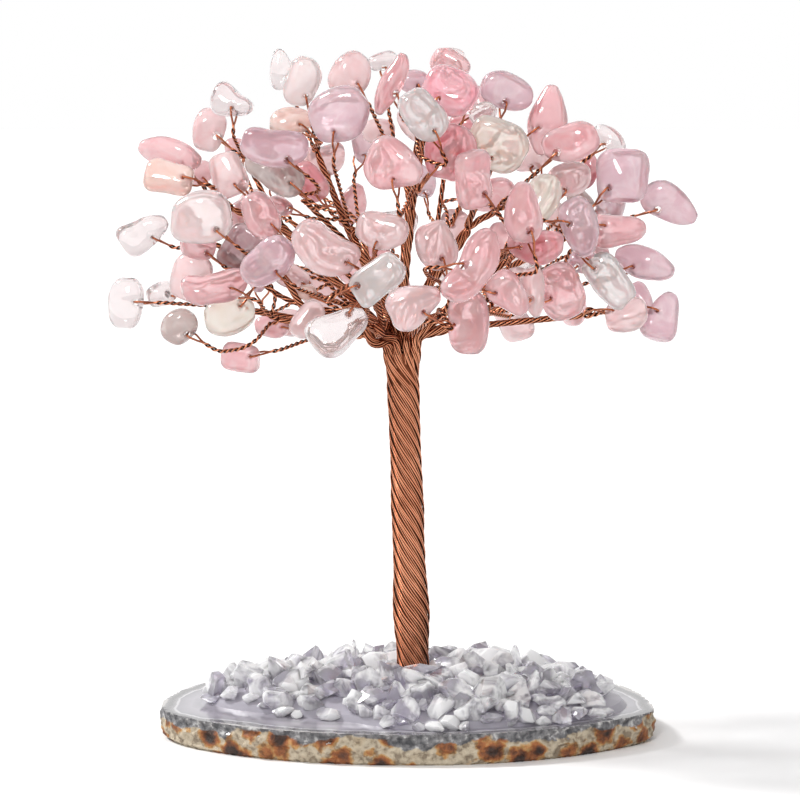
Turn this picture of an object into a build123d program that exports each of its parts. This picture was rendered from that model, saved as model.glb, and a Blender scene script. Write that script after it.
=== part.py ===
from build123d import *
import math
import os
import random

import numpy

# Gemstone tree ornament, in millimetres, +Z up. The origin lies on the underside of the agate slice,
# on the axis of the trunk, and the viewer of the picture stands on the -Y side.

# Copper wire
wire_diameter = 0.45
wire_gap = 0.05
wire_fill_share = 0.75

# Agate slice
slice_half_width = 52.6
slice_half_depth = 34.4
slice_thickness = 6.5
slice_centre_back = 1.8

# Trunk
crown_height = 80.5
crown_right = -1.15
trunk_radius = 3.6
trunk_foot_height = 9.5
trunk_foot_right = 1.35
trunk_strands = 32
strand_pitch = 33.0
strand_points_per_turn = 12
crown_rise = 3.2
inner_crown_rise = 7.5

# Adhesive bed and gravel
bed_height = 6.5
gravel_spacing = 6.7
gravel_stone_width = 5.9
gravel_stone_height = 5.0
gravel_trunk_gap = 0.6
gravel_seed = 11

# Root wires: bundles of cut ends that lie in the bed
root_bundles = 8
root_radius = 0.75
root_length = 13.0

# Canopy and chips
canopy_half_width = 61.25
chip_length = 12.25
chip_thickness = 4.6
bore_diameter = 1.2
bore_to_edge = 2.2
chip_gap = 0.45
loop_reach = 2.6
loop_gap = 0.2
loop_bend_radius = 0.7
pair_run = 1.6
bough_run = 2.3
limb_setback = 15.0
shortest_limb = 4.5
bough_setback = 8.5
shortest_bough = 5.0

# Room kept between the wires while their routes are found
twig_gap = 0.12
loop_room = 1.0
hub_room = 2.2
nudge_step = 1.5
sample_step = 0.45
trunk_guard_drop = 2.0
trunk_guard_step = 1.0

# The picture's view, which turns places on the picture into places on the tree
view_elevation = 7.0
view_distance = 700.0
aim_left_of_crown = 0.43
aim_below_crown = 9.96
canopy_right_of_aim = 1.56
canopy_above_aim = 13.54

wire_radius = wire_diameter / 2
pair_radius = wire_diameter + wire_gap / 2
bore_radius = bore_diameter / 2
slice_top = slice_thickness
aim_right = crown_right - aim_left_of_crown
aim_height = crown_height - aim_below_crown


def vector(numbers):
    """A build123d vector from three numbers."""
    return Vector(float(numbers[0]), float(numbers[1]), float(numbers[2]))


def unit(numbers):
    """The direction of three numbers, with length one."""
    numbers = numpy.asarray(numbers, dtype=float)
    return numbers / numpy.linalg.norm(numbers)


def write(node, solids):
    """Write one node as a STEP file."""
    shape = solids[0] if len(solids) == 1 else Compound(children=list(solids))
    export_step(shape, f"parts/{node}.step")
    print(node, len(solids))


# Bent wires and bundles: straight runs joined by tangent arcs

arc_share = 0.45
straight_turn = math.radians(1.5)


def turns_of(points):
    """The turn at each inner point, in radians."""
    steps = numpy.diff(points, axis=0)
    ways = steps / numpy.linalg.norm(steps, axis=1)[:, None]
    cosines = numpy.clip((ways[:-1] * ways[1:]).sum(axis=1), -1, 1)
    return numpy.arccos(cosines)


def without_straight_points(points):
    """Leave out inner points at which the route hardly turns."""
    points = numpy.asarray(points, dtype=float)
    kept = [0] + [i + 1 for i, turn in enumerate(turns_of(points)) if turn > straight_turn]
    return points[kept + [len(points) - 1]]


def arc_radii(points):
    """The largest arc at each corner for which both runs have room."""
    runs = numpy.linalg.norm(numpy.diff(points, axis=0), axis=1)
    shorter = numpy.minimum(runs[:-1], runs[1:])
    return arc_share * shorter / numpy.tan(turns_of(points) / 2)


def tube(points, radius, limit=None):
    """A round bar along a route, with an arc at each corner."""
    points = without_straight_points(points)
    corners = [vector(point) for point in points]
    if len(corners) == 2:
        path = Line(*corners)
    else:
        radii = arc_radii(points)
        if limit:
            radii = numpy.minimum(radii, limit)
        path = FilletPolyline(*corners, radius=[float(r) for r in radii])
    section = Plane(origin=path @ 0, z_dir=path % 0) * Circle(radius)
    return sweep(section, path=path).solid()


def samples(points, step):
    """Points along a route with its corners rounded, for measuring clearances."""
    points = without_straight_points(points) if len(points) > 2 else points
    runs = numpy.linalg.norm(numpy.diff(points, axis=0), axis=1)
    found = [points[0]]
    for i in range(1, len(points) - 1):
        cut = arc_share * min(runs[i - 1], runs[i])
        arriving = points[i] + (points[i - 1] - points[i]) / runs[i - 1] * cut
        leaving = points[i] + (points[i + 1] - points[i]) / runs[i] * cut
        found += [arriving]
        for share in (0.25, 0.5, 0.75):
            before = arriving + (points[i] - arriving) * share
            after = points[i] + (leaving - points[i]) * share
            found.append(before + (after - before) * share)
        found.append(leaving)
    found.append(points[-1])
    dense = []
    for start, end in zip(found, found[1:]):
        count = max(1, math.ceil(numpy.linalg.norm(end - start) / step))
        dense += [start + (end - start) * k / count for k in range(count)]
    return numpy.array(dense + [found[-1]])


# Agate slice: an irregular outline, drawn in under its rind

slice_outline_shares = [
    (1.0, -0.25), (0.97, 0.14), (0.88, 0.48), (0.66, 0.78), (0.34, 0.95), (0.0, 1.0),
    (-0.36, 0.95), (-0.67, 0.78), (-0.87, 0.50), (-0.965, 0.18), (-1.0, -0.2), (-0.93, -0.44),
    (-0.77, -0.66), (-0.52, -0.86), (-0.26, -0.965), (0.04, -1.0), (0.36, -0.94), (0.65, -0.77), (0.88, -0.52),
]
slice_section_shares = [(0.0, 0.935), (0.16, 0.975), (0.48, 1.0), (0.82, 0.992), (1.0, 0.972)]


def slice_solid():
    sections = []
    for height_share, size_share in slice_section_shares:
        corners = [
            (x * slice_half_width * size_share, slice_centre_back + y * slice_half_depth * size_share)
            for x, y in slice_outline_shares
        ]
        outline = Spline(*corners, periodic=True)
        sections.append(Pos(0, 0, height_share * slice_thickness) * make_face(outline))
    return loft(sections).solid()


os.makedirs("parts", exist_ok=True)
write("agate_slice", [slice_solid()])

# Adhesive bed: a low mound whose reach is given for every 30 degrees, from +X round by the back

bed_reach_shares = [0.87, 0.73, 0.58, 0.53, 0.56, 0.67, 0.80, 0.53, 0.44, 0.51, 0.56, 0.73]
bed_section_shares = [(0.0, 1.0), (0.2, 0.975), (0.55, 0.78), (0.85, 0.46), (1.0, 0.2)]


def bed_reach(angle):
    """How far the bed reaches from the trunk towards this angle."""
    place = (math.degrees(angle) % 360) / 360 * len(bed_reach_shares)
    low = int(place) % len(bed_reach_shares)
    high = (low + 1) % len(bed_reach_shares)
    return slice_half_width * (
        bed_reach_shares[low] + (bed_reach_shares[high] - bed_reach_shares[low]) * (place - int(place))
    )


def bed_top(x, y):
    """Height of the bed's surface above the slice."""
    out_share = math.hypot(x, y) / bed_reach(math.atan2(y, x))
    levels = [level for level, _ in bed_section_shares]
    reaches = [reach for _, reach in bed_section_shares]
    return bed_height * float(numpy.interp(out_share, reaches[::-1], levels[::-1]))


def bed_solid():
    sections = []
    turn = math.tau / len(bed_reach_shares)
    for height_share, size_share in bed_section_shares:
        corners = [
            (
                share * slice_half_width * size_share * math.cos(i * turn),
                share * slice_half_width * size_share * math.sin(i * turn),
            )
            for i, share in enumerate(bed_reach_shares)
        ]
        outline = Spline(*corners, periodic=True)
        sections.append(Pos(0, 0, slice_top + height_share * bed_height) * make_face(outline))
    return loft(sections, ruled=True).solid()


write("glue_bed", [bed_solid()])

# Trunk: it leans a little, so its pieces are set out along its own axis. Each row is a share of the
# length from foot to crown, then the outer radius there as a share of the trunk's radius.

trunk_shares = [
    (0.0, 0.93), (0.11, 0.96), (0.16, 1.02), (0.235, 1.13), (0.335, 0.99),
    (0.445, 0.96), (0.55, 1.0), (0.66, 0.94), (0.83, 0.94), (1.0, 1.07),
]

trunk_foot = numpy.array([trunk_foot_right, 0, trunk_foot_height])
crown = numpy.array([crown_right, 0, crown_height])
trunk_way = unit(crown - trunk_foot)
trunk_length = float(numpy.linalg.norm(crown - trunk_foot))
trunk_plane = Plane(origin=vector(trunk_foot), x_dir=(1, 0, 0), z_dir=vector(trunk_way))
trunk_right = unit(numpy.array([trunk_way[2], 0, -trunk_way[0]]))
trunk_back = numpy.array([0, 1, 0])


def trunk_radius_at(length_share):
    """The trunk's outer radius at a share of its length."""
    return trunk_radius * float(
        numpy.interp(length_share, [row[0] for row in trunk_shares], [row[1] for row in trunk_shares])
    )


def around_trunk(radius, angle, length):
    """A point at a radius and angle about the trunk's axis, this far along it."""
    across = trunk_right * math.cos(angle) + trunk_back * math.sin(angle)
    return trunk_foot + trunk_way * length + across * radius


def core_solid():
    """The inner wires, as one core under the outer layer."""
    chord_share = math.cos(math.pi / strand_points_per_turn)
    sections = []
    for length_share, radius_share in trunk_shares:
        core_radius = (radius_share * trunk_radius - wire_radius) * chord_share - wire_radius - wire_gap
        sections.append(trunk_plane * Pos(0, 0, length_share * trunk_length) * Circle(core_radius))
    return loft(sections, ruled=True).solid()


def strand_solids():
    """The outer layer: left-handed helices that follow the trunk's outline, all turned copies of one."""
    climb = strand_pitch / strand_points_per_turn
    steps = round(trunk_length / climb)
    points = []
    for step in range(steps + 1):
        reach = trunk_radius_at(step / steps) - wire_radius
        angle = -step * math.tau / strand_points_per_turn
        points.append(around_trunk(reach, angle, trunk_length * step / steps))
    strand = tube(points, wire_radius)
    axis = Axis(vector(trunk_foot), vector(trunk_way))
    return [strand.rotate(axis, index * 360 / trunk_strands) for index in range(trunk_strands)]


write("trunk_core", [core_solid()])
write("trunk_wires", strand_solids())

# Root wires: the cut ends fan out under the trunk and lie along the slice


def root_solid(index):
    angle = (index + 0.5) * math.tau / root_bundles
    ring = root_radius / math.sin(math.pi / root_bundles) + wire_gap
    lying_height = slice_top + root_radius + wire_gap
    start = around_trunk(ring, angle, 0)
    way = numpy.array([math.cos(angle), math.sin(angle), 0])
    drop = start[2] - lying_height
    knee = start - trunk_way * drop / 2
    below = numpy.array([knee[0], knee[1], lying_height])
    return tube([start, knee, below + way * drop / 2, below + way * root_length], root_radius)


write("root_wires", [root_solid(index) for index in range(root_bundles)])

# Gravel: crushed stones on the bed, in a jittered honeycomb, so that none touches the next

stone_section_shares = [(-0.5, 0.62), (0.05, 1.0), (0.5, 0.58)]
gravel_sectors = {
    "gravel_right": (-30, 30), "gravel_back_right": (30, 90), "gravel_back_left": (90, 150),
    "gravel_left": (150, 210), "gravel_front_left": (210, 270), "gravel_front_right": (270, 330),
}
jitter_share = 0.07
stone_sunk_share = 0.22
stone_lowest_share = 0.62


def stone_solid(x, y, dice):
    """One crushed stone: a rough prism that narrows above and below its waist, tipped over."""
    corners = dice.choice([5, 6, 6, 7])
    width = gravel_stone_width * dice.uniform(0.82, 1.0)
    height = gravel_stone_height * dice.uniform(0.7, 1.1)
    angles = [(i + dice.uniform(-0.22, 0.22)) * math.tau / corners for i in range(corners)]
    reaches = [dice.uniform(0.8, 1.0) for _ in range(corners)]
    sections = []
    for level_share, size_share in stone_section_shares:
        outline = [
            (width / 2 * reach * size_share * math.cos(a), width / 2 * reach * size_share * math.sin(a))
            for a, reach in zip(angles, reaches)
        ]
        sections.append(Pos(0, 0, level_share * height) * make_face(Polyline(*outline, close=True)))
    stone = loft(sections, ruled=True).solid()
    tip = Rot(dice.uniform(-24, 24), dice.uniform(-24, 24), dice.uniform(0, 360))
    rise = slice_top + max(bed_top(x, y) + stone_sunk_share * height, stone_lowest_share * height)
    return Pos(x, y, rise) * tip * stone


def gravel_solids():
    dice = random.Random(gravel_seed)
    sectors = {node: [] for node in gravel_sectors}
    row_step = gravel_spacing * math.sqrt(3) / 2
    rows = math.ceil(slice_half_depth / row_step)
    columns = math.ceil(slice_half_width / gravel_spacing) + 1
    for row in range(-rows, rows + 1):
        for column in range(-columns, columns + 1):
            x = (column + 0.5 * (row % 2)) * gravel_spacing + dice.uniform(-1, 1) * jitter_share * gravel_spacing
            y = row * row_step + dice.uniform(-1, 1) * jitter_share * gravel_spacing
            reach = math.hypot(x, y)
            angle = math.atan2(y, x)
            foot_radius = trunk_radius_at(0.1) + gravel_stone_width / 2 + gravel_trunk_gap
            if reach > bed_reach(angle) - gravel_stone_width * 0.3:
                continue
            if math.hypot(x - trunk_foot_right, y) < foot_radius:
                continue
            degrees = (math.degrees(angle) + 30) % 360 - 30
            node = next(name for name, (low, high) in gravel_sectors.items() if low <= degrees < high)
            sectors[node].append(stone_solid(x, y, dice))
    return sectors


for node, stones in gravel_solids().items():
    write(node, stones)

# Canopy: chips by limb and by bough, as they show in the picture. Each row is a name, then the place
# across, up and towards the viewer as shares of the canopy's half width, the length and width as
# shares of chip_length, the turn of the long side in degrees, and the form. A name that ends in
# _loose is a chip on a slack loop.

picture_chip_shares = {
    "low_left": [
        [("a14", -0.955, 0.11, 0.05, 0.88, 0.62, 85, "oval"), ("a15", -0.84, 0.14, -0.10, 0.50, 0.40, 20, "oval"),
         ("a12", -0.73, 0.20, 0.08, 0.80, 0.72, 70, "oval")],
        [("left_loose", -0.77, 0.025, 0.12, 0.60, 0.55, 60, "oval"),
         ("a17", -0.61, 0.065, 0.12, 0.86, 0.66, 10, "oval"),
         ("a13", -0.655, 0.165, 0.22, 1.05, 0.56, 14, "bean")],
        [("lowest_loose", -0.567, -0.075, 0.08, 0.66, 0.52, -5, "block"),
         ("i4", -0.46, 0.03, -0.05, 0.62, 0.42, 5, "oval"),
         ("i5", -0.40, 0.04, -0.15, 0.50, 0.45, 0, "oval")],
    ],
    "left_front": [
        [("a8", -0.88, 0.345, 0.02, 0.86, 0.60, 35, "wedge"), ("a7", -0.76, 0.40, 0.02, 0.75, 0.42, 80, "oval")],
        [("a6", -0.665, 0.405, 0.30, 1.02, 0.84, 5, "oval"), ("a10", -0.71, 0.30, 0.15, 0.60, 0.48, -15, "oval"),
         ("a11", -0.575, 0.29, 0.08, 0.75, 0.64, 60, "block")],
        [("h1", -0.475, 0.25, 0.38, 0.98, 0.66, 50, "oval"), ("f4", -0.515, 0.44, 0.30, 0.80, 0.58, -60, "oval"),
         ("h2", -0.39, 0.195, 0.05, 0.55, 0.42, -20, "block")],
    ],
    "left_back": [
        [("a3", -0.79, 0.61, 0.0, 1.10, 0.58, -12, "leaf"), ("a4", -0.805, 0.535, 0.12, 0.80, 0.58, -10, "block"),
         ("a3b", -0.715, 0.555, -0.12, 0.50, 0.40, 10, "oval")],
        [("a2", -0.675, 0.695, -0.12, 0.76, 0.56, 80, "oval"),
         ("upper_left_loose", -0.59, 0.795, 0.02, 0.68, 0.55, -15, "wedge")],
        [("a5", -0.625, 0.55, 0.0, 0.72, 0.58, -70, "block"), ("b9", -0.58, 0.635, -0.22, 0.42, 0.36, 0, "oval")],
    ],
    "high_left": [
        [("b1", -0.43, 0.905, 0.0, 0.68, 0.46, 110, "wedge"), ("b2", -0.355, 0.85, 0.12, 0.80, 0.58, 80, "oval"),
         ("b3", -0.40, 0.74, 0.18, 0.72, 0.46, 5, "oval")],
        [("f1", -0.455, 0.635, 0.38, 1.12, 0.64, -12, "bean"), ("f2", -0.465, 0.525, 0.27, 1.02, 0.60, -32, "oval")],
        [("b4", -0.235, 0.75, 0.32, 1.0, 0.88, 30, "oval"), ("f3", -0.335, 0.525, 0.20, 0.74, 0.54, -55, "oval"),
         ("f5", -0.43, 0.435, 0.08, 0.42, 0.30, -10, "oval")],
    ],
    "high_front": [
        [("f6", -0.045, 0.575, 0.52, 0.98, 0.84, -20, "drop"), ("c12", 0.145, 0.615, 0.35, 0.92, 0.80, 75, "oval")],
        [("c1", 0.055, 0.745, 0.48, 0.90, 0.70, -50, "oval"), ("b6", -0.055, 0.85, 0.22, 1.08, 0.42, 68, "leaf"),
         ("c2", 0.145, 0.83, 0.35, 0.92, 0.80, -30, "oval")],
    ],
    "high_back": [
        [("b5", -0.19, 0.885, 0.02, 0.78, 0.62, 60, "oval"), ("b10", -0.085, 0.93, -0.15, 0.50, 0.35, 20, "oval"),
         ("b11", -0.10, 0.69, -0.30, 0.55, 0.45, 0, "oval")],
        [("c3", 0.14, 0.90, -0.02, 0.68, 0.50, -25, "oval"), ("c4", 0.155, 0.945, -0.22, 0.42, 0.30, 0, "oval"),
         ("c5", 0.04, 0.87, -0.05, 0.45, 0.38, 10, "oval")],
        [("c6", 0.225, 0.80, 0.0, 0.62, 0.38, -70, "oval"), ("c7", 0.19, 0.715, -0.12, 0.50, 0.35, 0, "oval")],
    ],
    "high_right": [
        [("c9", 0.365, 0.825, 0.10, 0.90, 0.60, -15, "oval"), ("c10", 0.46, 0.735, 0.05, 1.22, 0.66, 82, "leaf"),
         ("c8", 0.255, 0.755, 0.18, 0.45, 0.34, 30, "oval")],
        [("c11", 0.305, 0.65, 0.28, 1.02, 0.80, -30, "oval"), ("g1", 0.245, 0.525, 0.48, 0.95, 0.58, -80, "block")],
        [("e1", 0.55, 0.645, 0.12, 0.94, 0.62, 15, "oval"),
         ("upper_right_loose", 0.69, 0.66, -0.02, 0.68, 0.36, -45, "leaf"),
         ("g3", 0.455, 0.46, 0.22, 0.92, 0.60, 70, "oval")],
    ],
    "right_front": [
        [("g2", 0.355, 0.395, 0.50, 1.04, 0.64, 88, "drop"), ("j9", 0.44, 0.295, 0.42, 0.92, 0.58, -5, "bean")],
        [("e7", 0.585, 0.36, 0.32, 1.0, 0.62, -75, "drop"), ("e2", 0.55, 0.54, 0.05, 0.72, 0.56, 10, "oval"),
         ("e3", 0.59, 0.465, -0.08, 0.50, 0.32, -20, "wedge")],
        [("e4", 0.73, 0.52, 0.12, 0.90, 0.82, -85, "block"),
         ("right_loose", 0.895, 0.44, 0.0, 1.02, 0.62, -28, "drop"),
         ("e6", 0.72, 0.38, 0.10, 0.90, 0.60, 15, "wedge")],
    ],
    "low_right": [
        [("k2", 0.685, 0.19, 0.25, 0.98, 0.56, -48, "block"), ("k3", 0.80, 0.215, 0.05, 1.02, 0.56, -20, "leaf"),
         ("k1", 0.595, 0.25, 0.05, 0.50, 0.42, 0, "oval")],
        [("k4", 0.875, 0.09, 0.08, 0.84, 0.62, 70, "wedge"),
         ("lower_right_loose", 0.745, 0.07, 0.18, 0.66, 0.58, 10, "oval"),
         ("k6", 0.79, 0.125, -0.08, 0.60, 0.36, -70, "oval")],
        [("j8", 0.525, 0.145, 0.28, 0.96, 0.72, -65, "oval"), ("j7", 0.43, 0.15, 0.38, 0.86, 0.44, -80, "drop"),
         ("j6", 0.36, 0.185, 0.15, 0.52, 0.42, 30, "oval")],
    ],
    "front_right": [
        [("j1", 0.085, 0.30, 0.50, 0.80, 0.66, -70, "oval"), ("j2", 0.20, 0.22, 0.58, 1.36, 0.60, 57, "bean")],
        [("j3", 0.075, 0.125, 0.62, 0.86, 0.66, 25, "drop"), ("j4", 0.225, 0.055, 0.48, 1.06, 0.72, 88, "oval"),
         ("j5", 0.305, 0.14, 0.55, 0.74, 0.56, -50, "drop")],
    ],
    "front_left": [
        [("h4", -0.25, 0.285, 0.52, 1.12, 0.72, -32, "bean"), ("h6", -0.125, 0.21, 0.56, 0.92, 0.58, 42, "block"),
         ("h7", -0.065, 0.33, 0.48, 0.84, 0.60, -10, "oval")],
        [("i3", -0.23, 0.025, 0.50, 1.0, 0.74, 40, "wedge"), ("i2", -0.338, 0.05, 0.35, 0.66, 0.46, 50, "oval"),
         ("h3", -0.34, 0.145, 0.10, 0.32, 0.28, 0, "oval")],
    ],
}

# Chips on the far side, which the picture hides: place across, up and towards the viewer, as above

hidden_chip_shares = {
    "right_back": [
        [(0.62, 0.30, -0.35), (0.50, 0.42, -0.45), (0.68, 0.45, -0.25)],
        [(0.40, 0.22, -0.50), (0.56, 0.12, -0.40)],
        [(0.42, 0.60, -0.35), (0.60, 0.58, -0.25)],
    ],
    "back_right": [
        [(0.15, 0.35, -0.62), (0.28, 0.48, -0.58), (0.05, 0.52, -0.60)],
        [(0.30, 0.30, -0.62), (0.18, 0.18, -0.60), (0.36, 0.08, -0.48)],
        [(0.25, 0.68, -0.40), (0.05, 0.72, -0.42)],
    ],
    "back_left": [
        [(-0.19, 0.44, -0.55), (-0.28, 0.605, -0.45), (-0.175, 0.63, -0.48)],
        [(-0.15, 0.25, -0.62), (-0.05, 0.38, -0.65), (-0.05, 0.15, -0.55)],
        [(-0.35, 0.33, -0.55), (-0.30, 0.15, -0.50), (-0.50, 0.22, -0.42)],
        [(-0.55, 0.42, -0.35), (-0.42, 0.55, -0.40)],
    ],
}

# Direction in which each limb leaves the crown, in degrees about +Z. The inner ones rise first.

outer_limbs = {
    "low_right": 0, "right_back": 36, "back_right": 72, "back_left": 108, "left_back": 144,
    "low_left": 180, "left_front": 216, "front_left": 252, "front_right": 288, "right_front": 324,
}
inner_limbs = {"high_right": 0, "high_back": 90, "high_left": 180, "high_front": 270}

# Chip forms: place along the chip as a share of its length, then width, thickness and sideways shift
# as shares of the chip's own width and thickness

form_shares = {
    "oval": [(-0.5, 0.40, 0.45, 0.0), (-0.38, 0.80, 0.84, 0.01), (-0.08, 1.0, 1.0, 0.0), (0.22, 0.95, 0.96, -0.01),
             (0.41, 0.70, 0.76, 0.0), (0.5, 0.36, 0.42, 0.01)],
    "drop": [(-0.5, 0.46, 0.50, 0.0), (-0.37, 0.88, 0.88, 0.0), (-0.1, 1.0, 1.0, 0.01), (0.2, 0.78, 0.86, 0.02),
             (0.42, 0.46, 0.62, 0.0), (0.5, 0.24, 0.38, 0.0)],
    "wedge": [(-0.5, 0.62, 0.60, 0.04), (-0.41, 0.95, 0.90, 0.03), (-0.1, 0.96, 1.0, 0.0), (0.22, 0.70, 0.84, -0.05),
              (0.43, 0.42, 0.60, -0.08), (0.5, 0.24, 0.38, -0.08)],
    "block": [(-0.5, 0.68, 0.62, 0.0), (-0.42, 0.93, 0.90, 0.02), (-0.05, 1.0, 1.0, 0.0), (0.40, 0.88, 0.86, -0.03),
              (0.5, 0.60, 0.58, -0.03)],
    "leaf": [(-0.5, 0.26, 0.40, 0.03), (-0.36, 0.64, 0.76, 0.03), (-0.05, 1.0, 1.0, 0.0), (0.25, 0.82, 0.90, -0.02),
             (0.43, 0.46, 0.60, 0.0), (0.5, 0.24, 0.38, 0.02)],
    "bean": [(-0.5, 0.42, 0.50, 0.10), (-0.37, 0.84, 0.88, 0.05), (0.0, 0.97, 1.0, -0.05), (0.37, 0.84, 0.88, 0.05),
             (0.5, 0.42, 0.50, 0.10)],
}
profile_shares = [
    (1.0, 0.06), (0.74, 0.70), (0.05, 1.0), (-0.70, 0.76), (-1.0, -0.05), (-0.76, -0.70), (-0.02, -1.0), (0.72, -0.74),
]

tilt_limit = 16
hidden_length_shares = [0.98, 0.80, 0.92, 0.72]
hidden_forms = ["oval", "leaf", "bean", "drop", "block", "wedge"]


def seen(right_share, up_share, near_share):
    """The point that shows at this place in the picture, this far in front of the trunk."""
    right = right_share * canopy_half_width + canopy_right_of_aim
    up = up_share * canopy_half_width + canopy_above_aim
    near = near_share * canopy_half_width
    sine = math.sin(math.radians(view_elevation))
    cosine = math.cos(math.radians(view_elevation))
    depth = (sine * up + near) / (cosine + sine * up / view_distance)
    scale = 1 - depth / view_distance
    return numpy.array([aim_right + right * scale, -near, aim_height + up * cosine * scale + depth * sine])


def turned(first, second, degrees):
    """Turn one direction towards another at right angles to it."""
    angle = math.radians(degrees)
    return first * math.cos(angle) + second * math.sin(angle), second * math.cos(angle) - first * math.sin(angle)


class Chip:
    """A tumbled chip with its own directions: along, across, and out of its broad face."""

    def __init__(self, name, place, length_share, width_share, turn, form, view_angle, view_rise, index):
        self.name = name
        self.loose = name.endswith("_loose")
        self.place = place
        self.form = form_shares[form]
        self.length = length_share * chip_length
        self.width = width_share * chip_length
        self.thickness = min(chip_thickness * (0.75 + 0.35 * width_share), 0.9 * self.width)
        angle = math.radians(view_angle)
        rise = math.radians(view_rise)
        right = numpy.array([-math.sin(angle), math.cos(angle), 0])
        face = numpy.array([math.cos(angle) * math.cos(rise), math.sin(angle) * math.cos(rise), math.sin(rise)])
        up = numpy.cross(face, right)
        self.along, self.across = turned(right, up, turn)
        self.face, self.across = turned(face, self.across, tilt_limit * math.sin(index * 2.4))
        self.along, self.face = turned(self.along, self.face, tilt_limit * math.cos(index * 1.7))
        self.halves = numpy.array([self.length, self.width, self.thickness]) / 2

    def axes(self):
        return numpy.array([self.along, self.across, self.face])

    def station(self, along_share):
        """Width, thickness and shift shares at a place along the chip."""
        places = [row[0] for row in self.form]
        return [float(numpy.interp(along_share, places, [row[k] for row in self.form])) for k in (1, 2, 3)]

    def reach(self, way):
        """How far the chip's outline lies from its centre, along a direction in its broad face."""
        run = numpy.array([way @ self.along, way @ self.across])
        run = run / numpy.linalg.norm(run)
        distance = 0.0
        step = self.length / 200
        while True:
            point = run * (distance + step)
            along_share = point[0] / self.length
            if abs(along_share) > 0.5:
                return distance
            width, _, shift = self.station(along_share)
            if abs(point[1] - shift * self.width) > width * self.width / 2:
                return distance
            distance += step

    def aim_loop(self, way):
        """Point the wire's loop this way, and set the bore and the twist from it."""
        self.way = unit(way - self.face * (way @ self.face))
        edge = self.reach(self.way)
        self.bore_reach = edge - min(bore_to_edge, 0.42 * edge)
        self.bore_place = self.place + self.way * self.bore_reach
        width, thickness, _ = self.station(self.bore_reach * (self.way @ self.along) / self.length)
        self.loop_half = thickness * self.thickness / 2 + wire_radius + loop_gap
        self.edge_reach = edge
        self.twist = self.place + self.way * (edge + loop_reach)

    def solid(self):
        plane = Plane(origin=vector(self.place), x_dir=vector(self.across), z_dir=vector(self.along))
        flip = 1 if (numpy.cross(self.along, self.across) @ self.face) > 0 else -1
        sections = []
        for along_share, width, thickness, shift in self.form:
            corners = [
                (
                    x * width * self.width / 2 + shift * self.width,
                    flip * y * thickness * self.thickness / 2,
                )
                for x, y in profile_shares
            ]
            outline = make_face(Spline(*corners, periodic=True))
            sections.append(plane * Pos(0, 0, along_share * self.length) * outline)
        bore_plane = Plane(origin=vector(self.bore_place), z_dir=vector(self.face))
        return (loft(sections) - bore_plane * Cylinder(bore_radius, 2 * self.thickness)).solid()

    def loop(self):
        """The wire through the bore, with both legs drawn together at the twist."""
        leg = wire_radius + wire_gap / 2
        far = self.edge_reach + loop_reach
        stations = [
            (far, leg), (far - 0.25 * loop_reach, leg), (self.edge_reach + 0.12 * loop_reach, self.loop_half * 0.86),
            (self.bore_reach, self.loop_half),
        ]
        stations += [(reach, -height) for reach, height in reversed(stations)]
        points = [self.place + self.way * reach + self.face * height for reach, height in stations]
        return tube(points, wire_radius, loop_bend_radius)


def all_chips():
    chips = {}
    index = 0
    for limb, boughs in picture_chip_shares.items():
        chips[limb] = []
        for rows in boughs:
            group = []
            for name, right, up, near, length, width, turn, form in rows:
                index += 1
                group.append(Chip(name, seen(right, up, near), length, width, turn, form, 270, view_elevation, index))
            chips[limb].append(group)
    for limb, boughs in hidden_chip_shares.items():
        chips[limb] = []
        for rows in boughs:
            group = []
            for right, up, near in rows:
                index += 1
                place = seen(right, up, near)
                outward = math.degrees(math.atan2(place[1], place[0]))
                length = hidden_length_shares[index % len(hidden_length_shares)]
                form = hidden_forms[index % len(hidden_forms)]
                group.append(Chip(
                    f"back_{index}", place, length, length * 0.68, index * 67 % 180 - 90, form, outward, 12, index
                ))
            chips[limb].append(group)
    return chips


# Settling: chips that would touch are pushed apart, mostly along the line of sight, so that each still
# shows where the picture has it. A chip counts as a rounded box with room for its wire on both faces.

box_power = 5.0
settle_rounds = 120
far_away = 1e6
sight = numpy.array([0, -math.cos(math.radians(view_elevation)), math.sin(math.radians(view_elevation))])
sight_share = 0.45


def padded_halves(chip):
    return chip.halves + numpy.array([0, 0, wire_diameter + loop_gap])


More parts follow.
